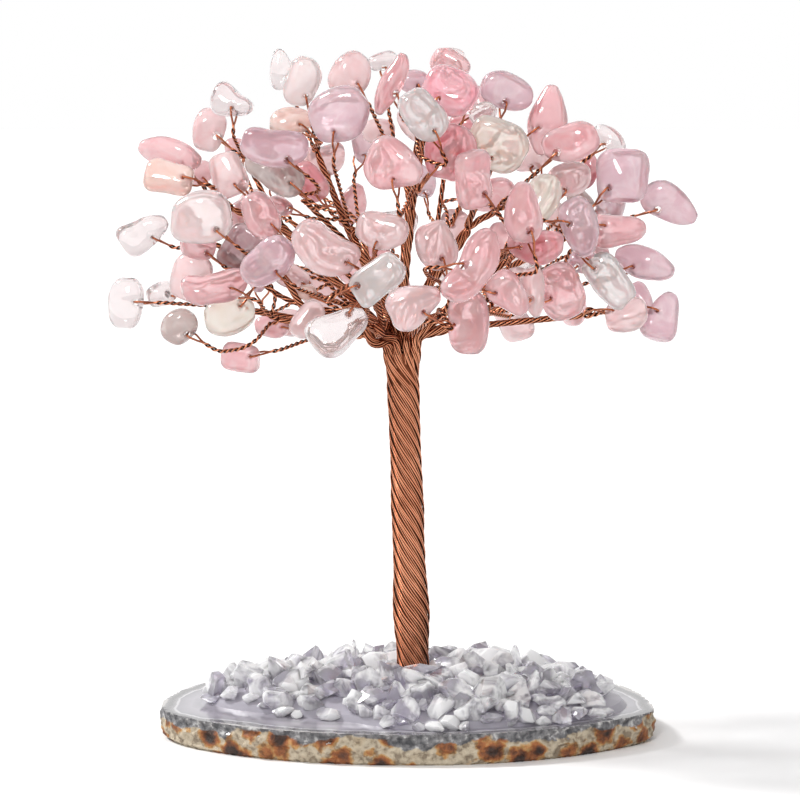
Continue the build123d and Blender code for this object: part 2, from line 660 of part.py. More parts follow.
def settle(chips):
    places = numpy.array([chip.place for chip in chips])
    axes = numpy.array([chip.axes() for chip in chips])
    halves = numpy.array([padded_halves(chip) for chip in chips])
    first, second = numpy.triu_indices(len(chips), 1)
    power = box_power / (box_power - 1)
    for _ in range(settle_rounds):
        apart = places[second] - places[first]
        near = numpy.linalg.norm(apart, axis=1) < 1.5 * chip_length
        one, two, apart = first[near], second[near], apart[near]
        centre_way = apart / numpy.linalg.norm(apart, axis=1)[:, None]
        best_gap = numpy.full(len(one), -far_away)
        best_way = numpy.zeros((len(one), 3))
        candidates = [centre_way, numpy.broadcast_to(sight, centre_way.shape)]
        candidates += [axes[one][:, k] for k in range(3)] + [axes[two][:, k] for k in range(3)]
        for way in candidates:
            way = way * numpy.where((way * apart).sum(axis=1) < 0, -1, 1)[:, None]
            gap = (way * apart).sum(axis=1)
            for group in (one, two):
                shares = numpy.abs(numpy.einsum("nkj,nj->nk", axes[group], way)) * halves[group]
                gap = gap - (shares ** power).sum(axis=1) ** (1 / power)
            better = gap > best_gap
            best_gap = numpy.where(better, gap, best_gap)
            best_way = numpy.where(better[:, None], way, best_way)
        short = chip_gap - best_gap
        if short.max() <= 0:
            break
        moves = numpy.zeros_like(places)
        along_sight = (best_way * sight).sum(axis=1)
        use_sight = numpy.abs(along_sight) > sight_share
        push = numpy.where(
            use_sight[:, None], sight * (short / numpy.where(use_sight, along_sight, 1))[:, None],
            best_way * short[:, None],
        )
        push = numpy.where((short > 0)[:, None], push * 0.55, 0)
        numpy.add.at(moves, two, push)
        numpy.add.at(moves, one, -push)
        longest = numpy.linalg.norm(moves, axis=1)[:, None]
        places = places + moves * numpy.minimum(1, chip_gap * 3 / numpy.maximum(longest, 1e-9))
    for chip, place in zip(chips, places):
        chip.place = place
    print("least chip gap", round(float(chip_gap - short.max()), 3))


# Clearances for the wires: what is already placed is a set of rounded boxes and of points with a radius

class Placed:
    """All that a new wire must keep clear of."""

    def __init__(self, chips):
        self.places = numpy.array([chip.place for chip in chips])
        self.axes = numpy.array([chip.axes() for chip in chips])
        self.halves = numpy.array([padded_halves(chip) for chip in chips])
        self.points = numpy.zeros((0, 3))
        self.radii = numpy.zeros(0)
        self.owners = numpy.zeros(0, dtype=int)
        self.names = {}

    def number(self, name):
        return self.names.setdefault(name, len(self.names))

    def add(self, points, radius, name):
        self.points = numpy.vstack([self.points, points])
        self.radii = numpy.append(self.radii, numpy.broadcast_to(radius, len(points)))
        self.owners = numpy.append(self.owners, numpy.full(len(points), self.number(name)))

    def remove(self, name):
        kept = self.owners != self.number(name)
        self.points, self.radii, self.owners = self.points[kept], self.radii[kept], self.owners[kept]

    def near(self, centre, reach, left_out=None):
        """Only what lies within reach of a place, to save time."""
        part = Placed.__new__(Placed)
        chips = numpy.linalg.norm(self.places - centre, axis=1) < reach + chip_length
        points = numpy.linalg.norm(self.points - centre, axis=1) < reach + 5 * wire_diameter
        points &= self.owners != (self.number(left_out) if left_out else -1)
        part.places, part.axes, part.halves = self.places[chips], self.axes[chips], self.halves[chips]
        part.points, part.radii, part.owners = self.points[points], self.radii[points], self.owners[points]
        part.names = self.names
        return part

    def chip_clearance(self, points, radius):
        if len(self.places) == 0:
            return far_away
        offsets = points[:, None, :] - self.places[None, :, :]
        inside = numpy.abs(numpy.einsum("mnj,nkj->mnk", offsets, self.axes)) / self.halves
        ratios = (inside ** box_power).sum(axis=2) ** (1 / box_power)
        distances = numpy.linalg.norm(offsets, axis=2) * (1 - 1 / numpy.maximum(ratios, 1e-6))
        return float((distances.min(axis=1) - radius).min())

    def kin(self, family):
        return numpy.isin(self.owners, [self.names.get(name, -1) for name in family])

    def wire_clearance(self, points, radius, joins=()):
        """Each join allows its kin to come closer by so much, within a reach of one place."""
        if len(self.points) == 0:
            return far_away
        gaps = numpy.linalg.norm(points[:, None, :] - self.points[None, :, :], axis=2) - self.radii
        gaps = gaps - numpy.broadcast_to(radius, len(points))[:, None]
        for kin, place, reach, allowance in joins:
            here = numpy.linalg.norm(points - place, axis=1) < reach
            gaps[numpy.ix_(here, kin)] += allowance
        return float(gaps.min())


# Room about a loop: places past the chip's edge as shares of loop_reach, and radii as shares of loop_room
loop_shares = [0.1, 0.35, 0.6, 0.8, 0.97]
loop_radius_shares = numpy.array([2.3, 1.7, 1.0, 0.55, 0.5])
loop_way_shares = [0.15, 0.5, 1.0, 1.5, 2.0]
loop_way_radius_shares = numpy.array([1.5, 0.9, 0.55, 0.55, 0.55])
loop_swings = [0, -18, 18, -36, 36, -54, 54, -75, 75, -100, 100, -130, 130, 165]


def loop_ways(chip, hub):
    """Ways in which a chip's loop could point, the one towards its bough first."""
    toward = unit(hub - chip.place)
    flat = toward - chip.face * (toward @ chip.face)
    if numpy.linalg.norm(flat) < 0.25:
        flat = flat + chip.along * 0.5
    flat = unit(flat)
    cross = numpy.cross(chip.face, flat)
    for swing in loop_swings:
        yield flat * math.cos(math.radians(swing)) + cross * math.sin(math.radians(swing))


def points_past_edge(chip, shares):
    return numpy.array([chip.place + chip.way * (chip.edge_reach + share * loop_reach) for share in shares])


def loop_clearance(chip, near):
    """How clear the loop and the first of its twig are, with the loop as it points now."""
    route = points_past_edge(chip, loop_way_shares)
    radii = loop_way_radius_shares * loop_room
    return min(near.chip_clearance(route, radii), near.wire_clearance(route, radii))


def place_loop(chip, placed):
    placed.remove(f"loop_{chip.name}")
    placed.add(points_past_edge(chip, loop_shares), loop_radius_shares * loop_room, f"loop_{chip.name}")


def others(chip, placed):
    """What is placed near a chip, without the chip and its loop."""
    near = placed.near(chip.place, chip_length, f"loop_{chip.name}")
    kept = numpy.linalg.norm(near.places - chip.place, axis=1) > wire_diameter
    near.places, near.axes, near.halves = near.places[kept], near.axes[kept], near.halves[kept]
    return near


def aim_all_loops(chips, hub_of, placed):
    """Turn each loop towards its bough, and aside where another chip is in the way."""
    clears = []
    for chip in chips:
        near = others(chip, placed)
        best = None
        for way in loop_ways(chip, hub_of[chip.name]):
            chip.aim_loop(way)
            clear = loop_clearance(chip, near)
            if best is None or clear > best[0]:
                best = (clear, way)
            if clear >= twig_gap:
                break
        chip.aim_loop(best[1])
        place_loop(chip, placed)
        clears.append(best[0])
    print("least loop clearance", round(min(clears), 3))


# Routes of limbs, boughs and twigs: each is tried with its middle moved aside until it is clear

# The middle's push is in shares of the bar's radius, and the straight first and last runs are stretched
# by their own shares. The tightest bend is a share of the radius too.
middle_shares = [0.2, 2.0, 4.5, 8.0, 12.0]
middle_ways = 8
run_shares = [1.0, 2.2]
tightest_bend_share = 1.15


def perpendicular(way):
    side = unit(numpy.cross(way, numpy.array([0.13, 0.37, 0.92])))
    return side, numpy.cross(way, side)


def trial_routes(start, start_way, end, end_way, runs, radius):
    for middle_share in middle_shares:
        for start_share in run_shares:
            first = start + start_way * runs[0] * start_share
            for end_share in run_shares:
                last = end - end_way * runs[1] * end_share
                side, up = perpendicular(unit(last - first))
                for k in range(middle_ways):
                    angle = k * math.tau / middle_ways
                    push = middle_share * radius
                    middle = (first + last) / 2 + (side * math.cos(angle) + up * math.sin(angle)) * push
                    yield numpy.array([start, first, middle, last, end])


def find_route(start, start_way, end, end_way, runs, radius, placed, parent, siblings, own):
    """The points of a route from a cap to its end, with its middle where the clearance is enough."""
    near = placed.near((start + end) / 2, numpy.linalg.norm(end - start) / 2 + 9 * radius)
    joins = [
        (near.kin([parent]), start, 5 * radius, far_away),
        (near.kin(siblings), start, 9 * radius, twig_gap - wire_gap / 2),
        (near.kin([own]), end, pair_run, far_away),
    ]
    best = None
    for points in trial_routes(start, start_way, end, end_way, runs, radius):
        bent = without_straight_points(points)
        bend_share = arc_radii(bent).min() / radius if len(bent) > 2 else tightest_bend_share
        if bend_share < tightest_bend_share:
            clear = (bend_share - tightest_bend_share) * far_away
        else:
            line = samples(points, sample_step)
            clear = near.chip_clearance(line, radius)
            if clear > (best[0] if best else -far_away):
                clear = min(clear, near.wire_clearance(line, radius, joins))
        if best is None or clear > best[0]:
            best = (clear, points)
        if clear >= twig_gap:
            break
    return best[1], best[0]


def cap_seats(cap, way, child_radius, targets):
    """Seat children side by side on a cap, each on the side that it leaves for."""
    if len(targets) == 1:
        return [cap]
    count = len(targets)
    side, up = perpendicular(way)
    angles = [math.atan2((target - cap) @ up, (target - cap) @ side) for target in targets]
    order = sorted(range(count), key=lambda k: angles[k])
    spread = [angles[k] - rank * math.tau / count for rank, k in enumerate(order)]
    phase = math.atan2(sum(math.sin(a) for a in spread), sum(math.cos(a) for a in spread))
    ring = child_radius / math.sin(math.pi / count) + wire_gap
    seats = [None] * count
    for rank, k in enumerate(order):
        angle = phase + rank * math.tau / count
        seats[k] = cap + (side * math.cos(angle) + up * math.sin(angle)) * ring
    return seats


chips = all_chips()
flat_chips = [chip for boughs in chips.values() for group in boughs for chip in group]
settle(flat_chips)

# Radii of the limbs come from how many stand side by side on the crown
crown_radius = trunk_radius_at(1.0)
outer_sine = math.sin(math.pi / len(outer_limbs))
outer_ring = crown_radius / (1 + outer_sine)
outer_limb_radius = outer_ring * outer_sine - wire_gap
inner_room = outer_ring - outer_limb_radius - wire_gap
inner_sine = math.sin(math.pi / len(inner_limbs))
inner_ring = inner_room / (1 + inner_sine)
inner_limb_radius = inner_ring * inner_sine - wire_gap


def bundle_radius(wires):
    return wire_radius * math.sqrt(wires / wire_fill_share)


hub_step_shares = [0, 0.5, 1.0, 1.6, 2.3, 3.1]
hub_ways = [unit((x, y, z)) for x in (-1, 0, 1) for y in (-1, 0, 1) for z in (-1, 0, 1) if x or y or z]
chips_only = Placed(flat_chips)
hubs_so_far = []


def clear_hub(place):
    """Move a parting place aside until no chip and no other parting place is close."""
    best = None
    for step_share in hub_step_shares:
        for way in hub_ways:
            trial = place + way * step_share * hub_room
            clear = chips_only.chip_clearance(trial[None, :], 0)
            for other in hubs_so_far:
                clear = min(clear, numpy.linalg.norm(trial - other) - hub_room)
            if best is None or clear > best[0]:
                best = (clear, trial)
            if clear >= hub_room:
                break
        if best[0] >= hub_room:
            break
    hubs_so_far.append(best[1])
    return best[1]


class Limb:
    """One limb: where it starts on the crown, where it parts, and where each of its boughs parts."""

    def __init__(self, name, angle, inner):
        self.name = name
        self.radius = inner_limb_radius if inner else outer_limb_radius
        self.ring = inner_ring if inner else outer_ring
        self.rise = inner_crown_rise if inner else crown_rise
        self.start = around_trunk(self.ring, math.radians(angle), trunk_length)
        self.groups = chips[name]
        places = numpy.array([chip.place for group in self.groups for chip in group])
        above = self.start + trunk_way * self.rise
        way = unit(places.mean(axis=0) - above)
        self.hub = clear_hub(above + way * max(shortest_limb, ((places - above) @ way).min() - limb_setback))
        self.hubs = []
        for group in self.groups:
            places = numpy.array([chip.place for chip in group])
            way = unit(places.mean(axis=0) - self.hub)
            run = max(shortest_bough, ((places - self.hub) @ way).min() - bough_setback)
            self.hubs.append(clear_hub(self.hub + way * run))


limbs = [Limb(name, angle, False) for name, angle in outer_limbs.items()]
limbs += [Limb(name, angle, True) for name, angle in inner_limbs.items()]

placed = Placed(flat_chips)
hub_of = {}
for limb in limbs:
    for group, hub in zip(limb.groups, limb.hubs):
        for chip in group:
            hub_of[chip.name] = hub
aim_all_loops(flat_chips, hub_of, placed)

trunk_guard_points = 38
trunk_drops = [trunk_guard_drop + k * trunk_guard_step for k in range(trunk_guard_points)]
trunk_line = numpy.array([crown - trunk_way * drop for drop in trunk_drops])
placed.add(trunk_line, crown_radius, "trunk")
nudge_shares = [0, 1.0, 2.0, 3.2]
nudge_ways = [(1, 0, 0), (-1, 0, 0), (0, 1, 0), (0, -1, 0), (0, 0, 1), (0, 0, -1)]


def nudged(place, aim):
    """A parting place and the way to its next one, and the same with the place moved aside."""
    for nudge_share in nudge_shares:
        for way in nudge_ways if nudge_share else nudge_ways[:1]:
            trial = place + numpy.array(way) * nudge_share * nudge_step
            yield trial, unit(aim - trial)


def twists(chip, hub, placed):
    """The twist of a chip and the way into it, with the loop as it points now, then turned aside."""
    yield chip.twist, -chip.way
    near = others(chip, placed)
    for way in loop_ways(chip, hub):
        chip.aim_loop(way)
        if loop_clearance(chip, near) >= 0:
            yield chip.twist, -chip.way


def grow(name, start, start_way, ends, runs, radius, parent, siblings, own=None):
    """Take the first end that a clear route reaches, and keep the route as an obstacle for the next."""
    placed.remove(name)
    best = None
    for end, end_way in ends:
        points, clear = find_route(start, start_way, end, end_way, runs, radius, placed, parent, siblings, own)
        if best is None or clear > best[1]:
            best = (points, clear, end, end_way)
        if clear >= twig_gap:
            break
    placed.add(samples(best[0], sample_step), radius, name)
    if best[1] < twig_gap:
        print("close", name, round(best[1], 3))
    return best[0], best[2], best[3]


def reserve(names, starts, way, run, radius):
    """Keep the first run of each child free until its own turn comes."""
    for name, start in zip(names, starts):
        placed.add(samples(numpy.array([start, start + way * run]), sample_step), radius, name)


limb_names = [f"limb_{limb.name}" for limb in limbs]
reserve(limb_names, [limb.start for limb in limbs], trunk_way, crown_rise, outer_limb_radius)
for limb in limbs:
    limb.points, limb.hub, limb.way = grow(
        f"limb_{limb.name}", limb.start, trunk_way, nudged(limb.hub, numpy.mean(limb.hubs, axis=0)),
        (limb.rise, bough_run), limb.radius, "trunk", limb_names,
    )

for limb in limbs:
    limb.bough_radius = bundle_radius(2 * max(len(group) for group in limb.groups))
    seats = cap_seats(limb.hub, limb.way, limb.bough_radius, limb.hubs)
    names = [f"bough_{limb.name}_{k}" for k in range(len(limb.groups))]
    reserve(names, seats, limb.way, bough_run, limb.bough_radius)
    limb.bough_points = []
    limb.bough_ways = []
    for k, (name, seat, group) in enumerate(zip(names, seats, limb.groups)):
        middle = numpy.mean([chip.twist for chip in group], axis=0)
        aim = middle + unit(limb.hubs[k] - seat) * numpy.linalg.norm(middle - limb.hubs[k])
        points, limb.hubs[k], way = grow(
            name, seat, limb.way, nudged(limb.hubs[k], aim), (bough_run, bough_run), limb.bough_radius,
            f"limb_{limb.name}", names,
        )
        limb.bough_points.append(points)
        limb.bough_ways.append(way)

for limb in limbs:
    limb.twig_points = []
    for k, (hub, way, group) in enumerate(zip(limb.hubs, limb.bough_ways, limb.groups)):
        seats = cap_seats(hub, way, pair_radius, [chip.twist for chip in group])
        names = [f"twig_{chip.name}" for chip in group]
        reserve(names, seats, way, pair_run, pair_radius)
        for name, seat, chip in zip(names, seats, group):
            points, _, into = grow(
                name, seat, way, twists(chip, hub, placed), (pair_run, pair_run), pair_radius,
                f"bough_{limb.name}_{k}", names, f"loop_{chip.name}",
            )
            chip.aim_loop(-into)
            place_loop(chip, placed)
            limb.twig_points.append(points)

for limb in limbs:
    bars = [tube(limb.points, limb.radius)] + [tube(points, limb.bough_radius) for points in limb.bough_points]
    write(f"limb_{limb.name}", bars)
    group = [chip for group in limb.groups for chip in group]
    write(f"twigs_{limb.name}", [tube(points, pair_radius) for points in limb.twig_points] + [c.loop() for c in group])
    write(f"chips_{limb.name}", [chip.solid() for chip in group if not chip.loose])
    for chip in group:
        if chip.loose:
            write(f"{chip.name}_chip", [chip.solid()])
            print("hinge", chip.name, chip.bore_place.round(3).tolist(), chip.face.round(4).tolist())
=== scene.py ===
# %% [markdown]
# This script dresses a gemstone tree: copper wires twisted into a trunk, pulled apart into limbs, boughs
# and twigs, with a tumbled quartz chip on each twig. The tree stands in crushed clear quartz on a slice
# of agate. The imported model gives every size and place, and it is never moved. Each cell says what a
# piece is on the real ornament and why it is made the way it is.

import math
import random

import bmesh
import bpy
import numpy as np
from mathutils import Matrix, Vector
from mathutils.kdtree import KDTree


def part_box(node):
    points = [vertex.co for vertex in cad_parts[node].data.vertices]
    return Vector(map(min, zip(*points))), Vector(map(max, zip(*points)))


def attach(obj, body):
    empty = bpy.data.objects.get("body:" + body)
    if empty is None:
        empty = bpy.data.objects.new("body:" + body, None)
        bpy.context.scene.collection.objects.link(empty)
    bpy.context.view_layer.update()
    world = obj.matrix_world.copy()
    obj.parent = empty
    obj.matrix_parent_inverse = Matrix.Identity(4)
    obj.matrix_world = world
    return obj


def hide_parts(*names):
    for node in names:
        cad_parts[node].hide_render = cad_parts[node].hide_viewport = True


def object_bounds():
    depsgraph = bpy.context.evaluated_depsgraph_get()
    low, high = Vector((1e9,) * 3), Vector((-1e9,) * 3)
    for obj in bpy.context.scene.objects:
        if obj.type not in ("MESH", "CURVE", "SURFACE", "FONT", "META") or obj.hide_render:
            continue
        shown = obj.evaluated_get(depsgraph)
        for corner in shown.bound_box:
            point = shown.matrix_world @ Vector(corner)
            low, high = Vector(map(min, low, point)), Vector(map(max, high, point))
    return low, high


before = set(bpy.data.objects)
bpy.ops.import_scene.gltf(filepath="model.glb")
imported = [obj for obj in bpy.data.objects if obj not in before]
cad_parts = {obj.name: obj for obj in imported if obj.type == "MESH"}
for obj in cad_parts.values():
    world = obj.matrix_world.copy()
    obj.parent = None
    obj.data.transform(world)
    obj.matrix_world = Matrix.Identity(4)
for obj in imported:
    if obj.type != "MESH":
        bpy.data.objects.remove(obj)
cad_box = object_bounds()
scene = bpy.context.scene
scene.view_settings.view_transform = "Standard"
mm = 0.001
print("nodes", len(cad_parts), "box", [round(v / mm, 1) for corner in cad_box for v in corner])

# %% [markdown]
# The picture was taken from slightly above, from some distance. A long lens on a camera that stands back
# gives the same weak perspective, so the camera is placed by its elevation and distance from one aim point.

# %% Camera
view_elevation = math.radians(7)
view_distance = 700 * mm
aim = Vector((-1.58, 0, 70.54)) * mm
field_width = 166.6 * mm
sensor = 36

camera_data = bpy.data.cameras.new("camera")
camera_data.sensor_width = sensor
camera_data.lens = sensor * view_distance / field_width
camera = bpy.data.objects.new("camera", camera_data)
scene.collection.objects.link(camera)
back = Vector((0, -math.cos(view_elevation), math.sin(view_elevation)))
camera.location = aim + back * view_distance
camera.rotation_euler = (-back).to_track_quat("-Z", "Y").to_euler()
camera_data.clip_start = 50 * mm
scene.camera = camera
print("lens", round(camera_data.lens, 1), "mm")

# %% [markdown]
# A few helpers serve several pieces: one clears the selection before an operator acts, one applies the
# modifiers, one copies a node's mesh and merges its loose triangles, and one lists the separate solids in a
# mesh. The copies are new objects, so the nodes themselves stay as they came.

# %% Helpers for meshes
merge_gap = 0.001 * mm


def select_only(piece):
    """Clear the selection and make one object the active one."""
    bpy.ops.object.select_all(action="DESELECT")
    piece.select_set(True)
    bpy.context.view_layer.objects.active = piece


def apply_modifiers(piece):
    """Apply all of a piece's modifiers in their order."""
    select_only(piece)
    for modifier in list(piece.modifiers):
        bpy.ops.object.modifier_apply(modifier=modifier.name)


def merged_copy(node, name):
    """A copy of a CAD node's mesh as a new object, with its doubled points merged."""
    piece = bpy.data.objects.new(name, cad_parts[node].data.copy())
    scene.collection.objects.link(piece)
    piece.data.materials.clear()
    select_only(piece)
    bpy.ops.object.mode_set(mode="EDIT")
    bpy.ops.mesh.select_all(action="SELECT")
    bpy.ops.mesh.remove_doubles(threshold=merge_gap)
    bpy.ops.object.mode_set(mode="OBJECT")
    return piece


def solids_of(shape):
    """The points of each separate solid in a bmesh, in the order in which the solids come."""
    seen = set()
    groups = []
    for first in shape.verts:
        if first in seen:
            continue
        group = [first]
        seen.add(first)
        for vert in group:
            for edge in vert.link_edges:
                other = edge.other_vert(vert)
                if other not in seen:
                    seen.add(other)
                    group.append(other)
        groups.append(group)
    return groups


# %% [markdown]
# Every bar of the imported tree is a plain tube, and its centre line is what the twisted wires follow. A
# tube is a stack of rings, so the line is read ring by ring: it starts at one of its two flat round ends,
# and each next ring is made of the points that are joined to the last one. Bars that touch have points
# very near each other, so only points that agree far more closely than that are merged.

# %% Read the centre lines of tubes
bar_merge_gap = 0.0001 * mm
flat_limit = math.radians(0.5)
round_face_points = 6


def unevenness(face):
    """How far a face is from a regular polygon: near zero for the flat end of a tube."""
    middle = face.calc_center_median()
    reaches = [(vert.co - middle).length for vert in face.verts]
    return float(np.std(reaches) / np.mean(reaches))


def centre_line(ends):
    """The middle of each ring of a tube, from one of its flat ends to the other."""
    ring = list(ends[0].verts)
    passed = set(ring)
    middles = []
    while ring:
        middles.append(np.mean([vert.co for vert in ring], axis=0))
        following = []
        for vert in ring:
            for edge in vert.link_edges:
                other = edge.other_vert(vert)
                if other not in passed:
                    passed.add(other)
                    following.append(other)
        ring = following
    return np.array(middles)


def tubes_of(node):
    """The centre line and radius of each tube in a node."""
    shape = bmesh.new()
    shape.from_mesh(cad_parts[node].data)
    bmesh.ops.remove_doubles(shape, verts=shape.verts[:], dist=bar_merge_gap)
    bmesh.ops.dissolve_limit(
        shape, angle_limit=flat_limit, verts=shape.verts[:], edges=shape.edges[:],
        use_dissolve_boundaries=False)
    tubes = []
    for group in solids_of(shape):
        faces = {face for vert in group for face in vert.link_faces}
        ends = sorted((face for face in faces if len(face.verts) >= round_face_points), key=unevenness)[:2]
        middle = ends[0].calc_center_median()
        radius = float(np.mean([(vert.co - middle).length for vert in ends[0].verts]))
        tubes.append((centre_line(ends), radius))
    shape.free()
    return tubes


# %% [markdown]
# On a real wire tree every chip hangs on one wire that is folded in half. Its two halves are twisted
# together as a twig, join the next twigs in a bough, then a limb, and end in the trunk. So the wires are
# made one by one, each all the way from the trunk to its chip and back, and the partings of the bundles
# come out by themselves. Below are the sizes of the wire and of its twists. A twist's pitch is the length
# in which it turns once, and the layer is the stretch over which a wire leaves the trunk's outer layer.

# %% Sizes of the wire and its twists
wire_radius = 0.225 * mm
pair_radius = 0.25 * mm
thickest_wire = 0.33 * mm
wire_fill_share = 0.72
ring_of_wires = 6
limb_step = 0.6 * mm
twig_step = 0.3 * mm
trunk_step = 1.0 * mm
limb_pitch = 15 * mm
bough_pitch = 9 * mm
twig_pitch = 2.9 * mm
parting_reach = 2.2 * mm
wires_shown_per_limb = 4
ridge_heights = [-0.30 * mm, 0.08 * mm, 0.08 * mm, -0.30 * mm]
ridge_rise_spread = 0.05 * mm
ridge_turn_degrees = 1
ridge_spread = 0.92
layer_start = 8.0 * mm
layer_end = 3.0 * mm
hidden_share = 0.45
side_by_side = 0.001
golden_turn = math.tau * 0.381966


def unit(vectors):
    """Directions of length one."""
    vectors = np.asarray(vectors, dtype=float)
    return vectors / np.linalg.norm(vectors, axis=-1, keepdims=True)


def resampled(line, step):
    """The same line with points at even distances of about one step."""
    runs = np.linalg.norm(np.diff(line, axis=0), axis=1)
    places = np.concatenate([[0], np.cumsum(runs)])
    count = max(2, math.ceil(places[-1] / step))
    wanted = np.linspace(0, places[-1], count + 1)
    return np.column_stack([np.interp(wanted, places, line[:, k]) for k in range(3)])


def softened(line):
    """Even out the small kinks where one bar is seated on the last one."""
    kernel = np.array([1, 2, 3, 2, 1]) / 9
    padded = np.vstack([line[:1], line[:1], line, line[-1:], line[-1:]])
    smooth = np.column_stack([np.convolve(padded[:, k], kernel, mode="valid") for k in range(3)])
    smooth[0], smooth[-1] = line[0], line[-1]
    return smooth


def frames_along(line, side):
    """Two directions across a line at each of its points, carried along it without twisting."""
    ways = unit(np.gradient(line, axis=0))
    sides = []
    for way in ways:
        side = unit(side - way * (side @ way))
        sides.append(side)
    sides = np.array(sides)
    return sides, np.cross(ways, sides)


def eased(values):
    """Goes from 0 to 1 without a corner."""
    shares = np.clip(values, 0, 1)
    return shares * shares * (3 - 2 * shares)


def starting_near(line, place):
    """A line turned round, if need be, so that it starts at its end nearer to a place."""
    if np.linalg.norm(line[-1] - place) < np.linalg.norm(line[0] - place):
        return line[::-1]
    return line


def bundle_places(count):
    """Where the wires of a bundle lie in its section: a ring for a few, a sunflower's seeds for more."""
    if count <= ring_of_wires:
        angles = np.arange(count) * math.tau / count
        reaches = np.full(count, pair_radius / math.sin(math.pi / count))
    else:
        angles = np.arange(count) * golden_turn
        reaches = wire_radius * math.sqrt(count / wire_fill_share) - wire_radius / 2
        reaches = reaches * np.sqrt((np.arange(count) + 0.5) / count)
    return np.column_stack([reaches * np.cos(angles), reaches * np.sin(angles)])


def shared_out(places, turn, targets):
    """Give each wire the place on the side to which it will leave the bundle."""
    place_angles = (np.arctan2(places[:, 1], places[:, 0]) + turn) % math.tau
    seats = np.empty_like(places)
    seats[np.argsort(targets, kind="stable")] = places[np.argsort(place_angles, kind="stable")]
    return seats


def rotated(places, turn):
    """Points of a section turned about its middle."""
    cosine, sine = np.cos(turn), np.sin(turn)
    rights, ups = places[..., 0], places[..., 1]
    return np.stack([rights * cosine - ups * sine, rights * sine + ups * cosine], axis=-1)


# %% [markdown]
# The trunk's outer layer is a set of equal helices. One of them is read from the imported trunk, as a
# distance from the axis and an angle at each height, and the other strands repeat it all round. Four
# of its strands go on into each of the ten outer limbs. They stand out as a ridge, with a groove on
# each side, because they were one bundle before the trunk was twisted.

# %% Read the trunk
core_line = starting_near(tubes_of("trunk_core")[0][0], np.zeros(3))
trunk_foot, crown = core_line[0], core_line[-1]
trunk_way = unit(crown - trunk_foot)
trunk_length = float(np.linalg.norm(crown - trunk_foot))
trunk_right = unit(np.array([trunk_way[2], 0, -trunk_way[0]]))
trunk_back = np.cross(trunk_way, trunk_right)

strand_line = starting_near(tubes_of("trunk_wires")[0][0], trunk_foot)
strand_lengths = (strand_line - trunk_foot) @ trunk_way
strand_rights = (strand_line - trunk_foot) @ trunk_right
strand_backs = (strand_line - trunk_foot) @ trunk_back
strand_reaches = np.hypot(strand_rights, strand_backs)
strand_angles = np.unwrap(np.arctan2(strand_backs, strand_rights))
strand_turn = (strand_angles[-1] - strand_angles[0]) / (strand_lengths[-1] - strand_lengths[0])


def trunk_strand(crown_angle, rise, lengths):
    """Points of one strand of the trunk's outer layer, with its angle at the crown and its rise."""
    reaches = np.interp(lengths, strand_lengths, strand_reaches) + rise
    angles = np.interp(lengths, strand_lengths, strand_angles) - strand_angles[-1] + crown_angle
    angles = angles + np.maximum(lengths - trunk_length, 0) * strand_turn
    across = np.outer(np.cos(angles), trunk_right) + np.outer(np.sin(angles), trunk_back)
    return trunk_foot + np.outer(lengths, trunk_way) + across * reaches[:, None]


def angle_about_trunk(point):
    """The angle of a point about the trunk's axis."""
    offset = point - trunk_foot
    return math.atan2(offset @ trunk_back, offset @ trunk_right)


print("trunk length", round(trunk_length / mm, 1), "turn per mm", round(math.degrees(strand_turn) * mm, 2))

# %% [markdown]
# Now each limb is read. Its thickest tube is the limb and the rest are its boughs. Of the tubes in its
# twigs, the thick ones are twisted pairs, and each has a thin loop at its far end. A wire keeps to its seat
# in the limb's section, moves over to its seat in the bough, then to its seat in the pair, and the whole
# section turns as it goes. The wires that the outer layer has no room for run inside it, near the axis.

# %% Lay the wires from the trunk to the chips
points_ahead = 6
points_behind = 2
trunk_lines = []
limb_lines = {}
twig_lines = {}
dice = random.Random(5)


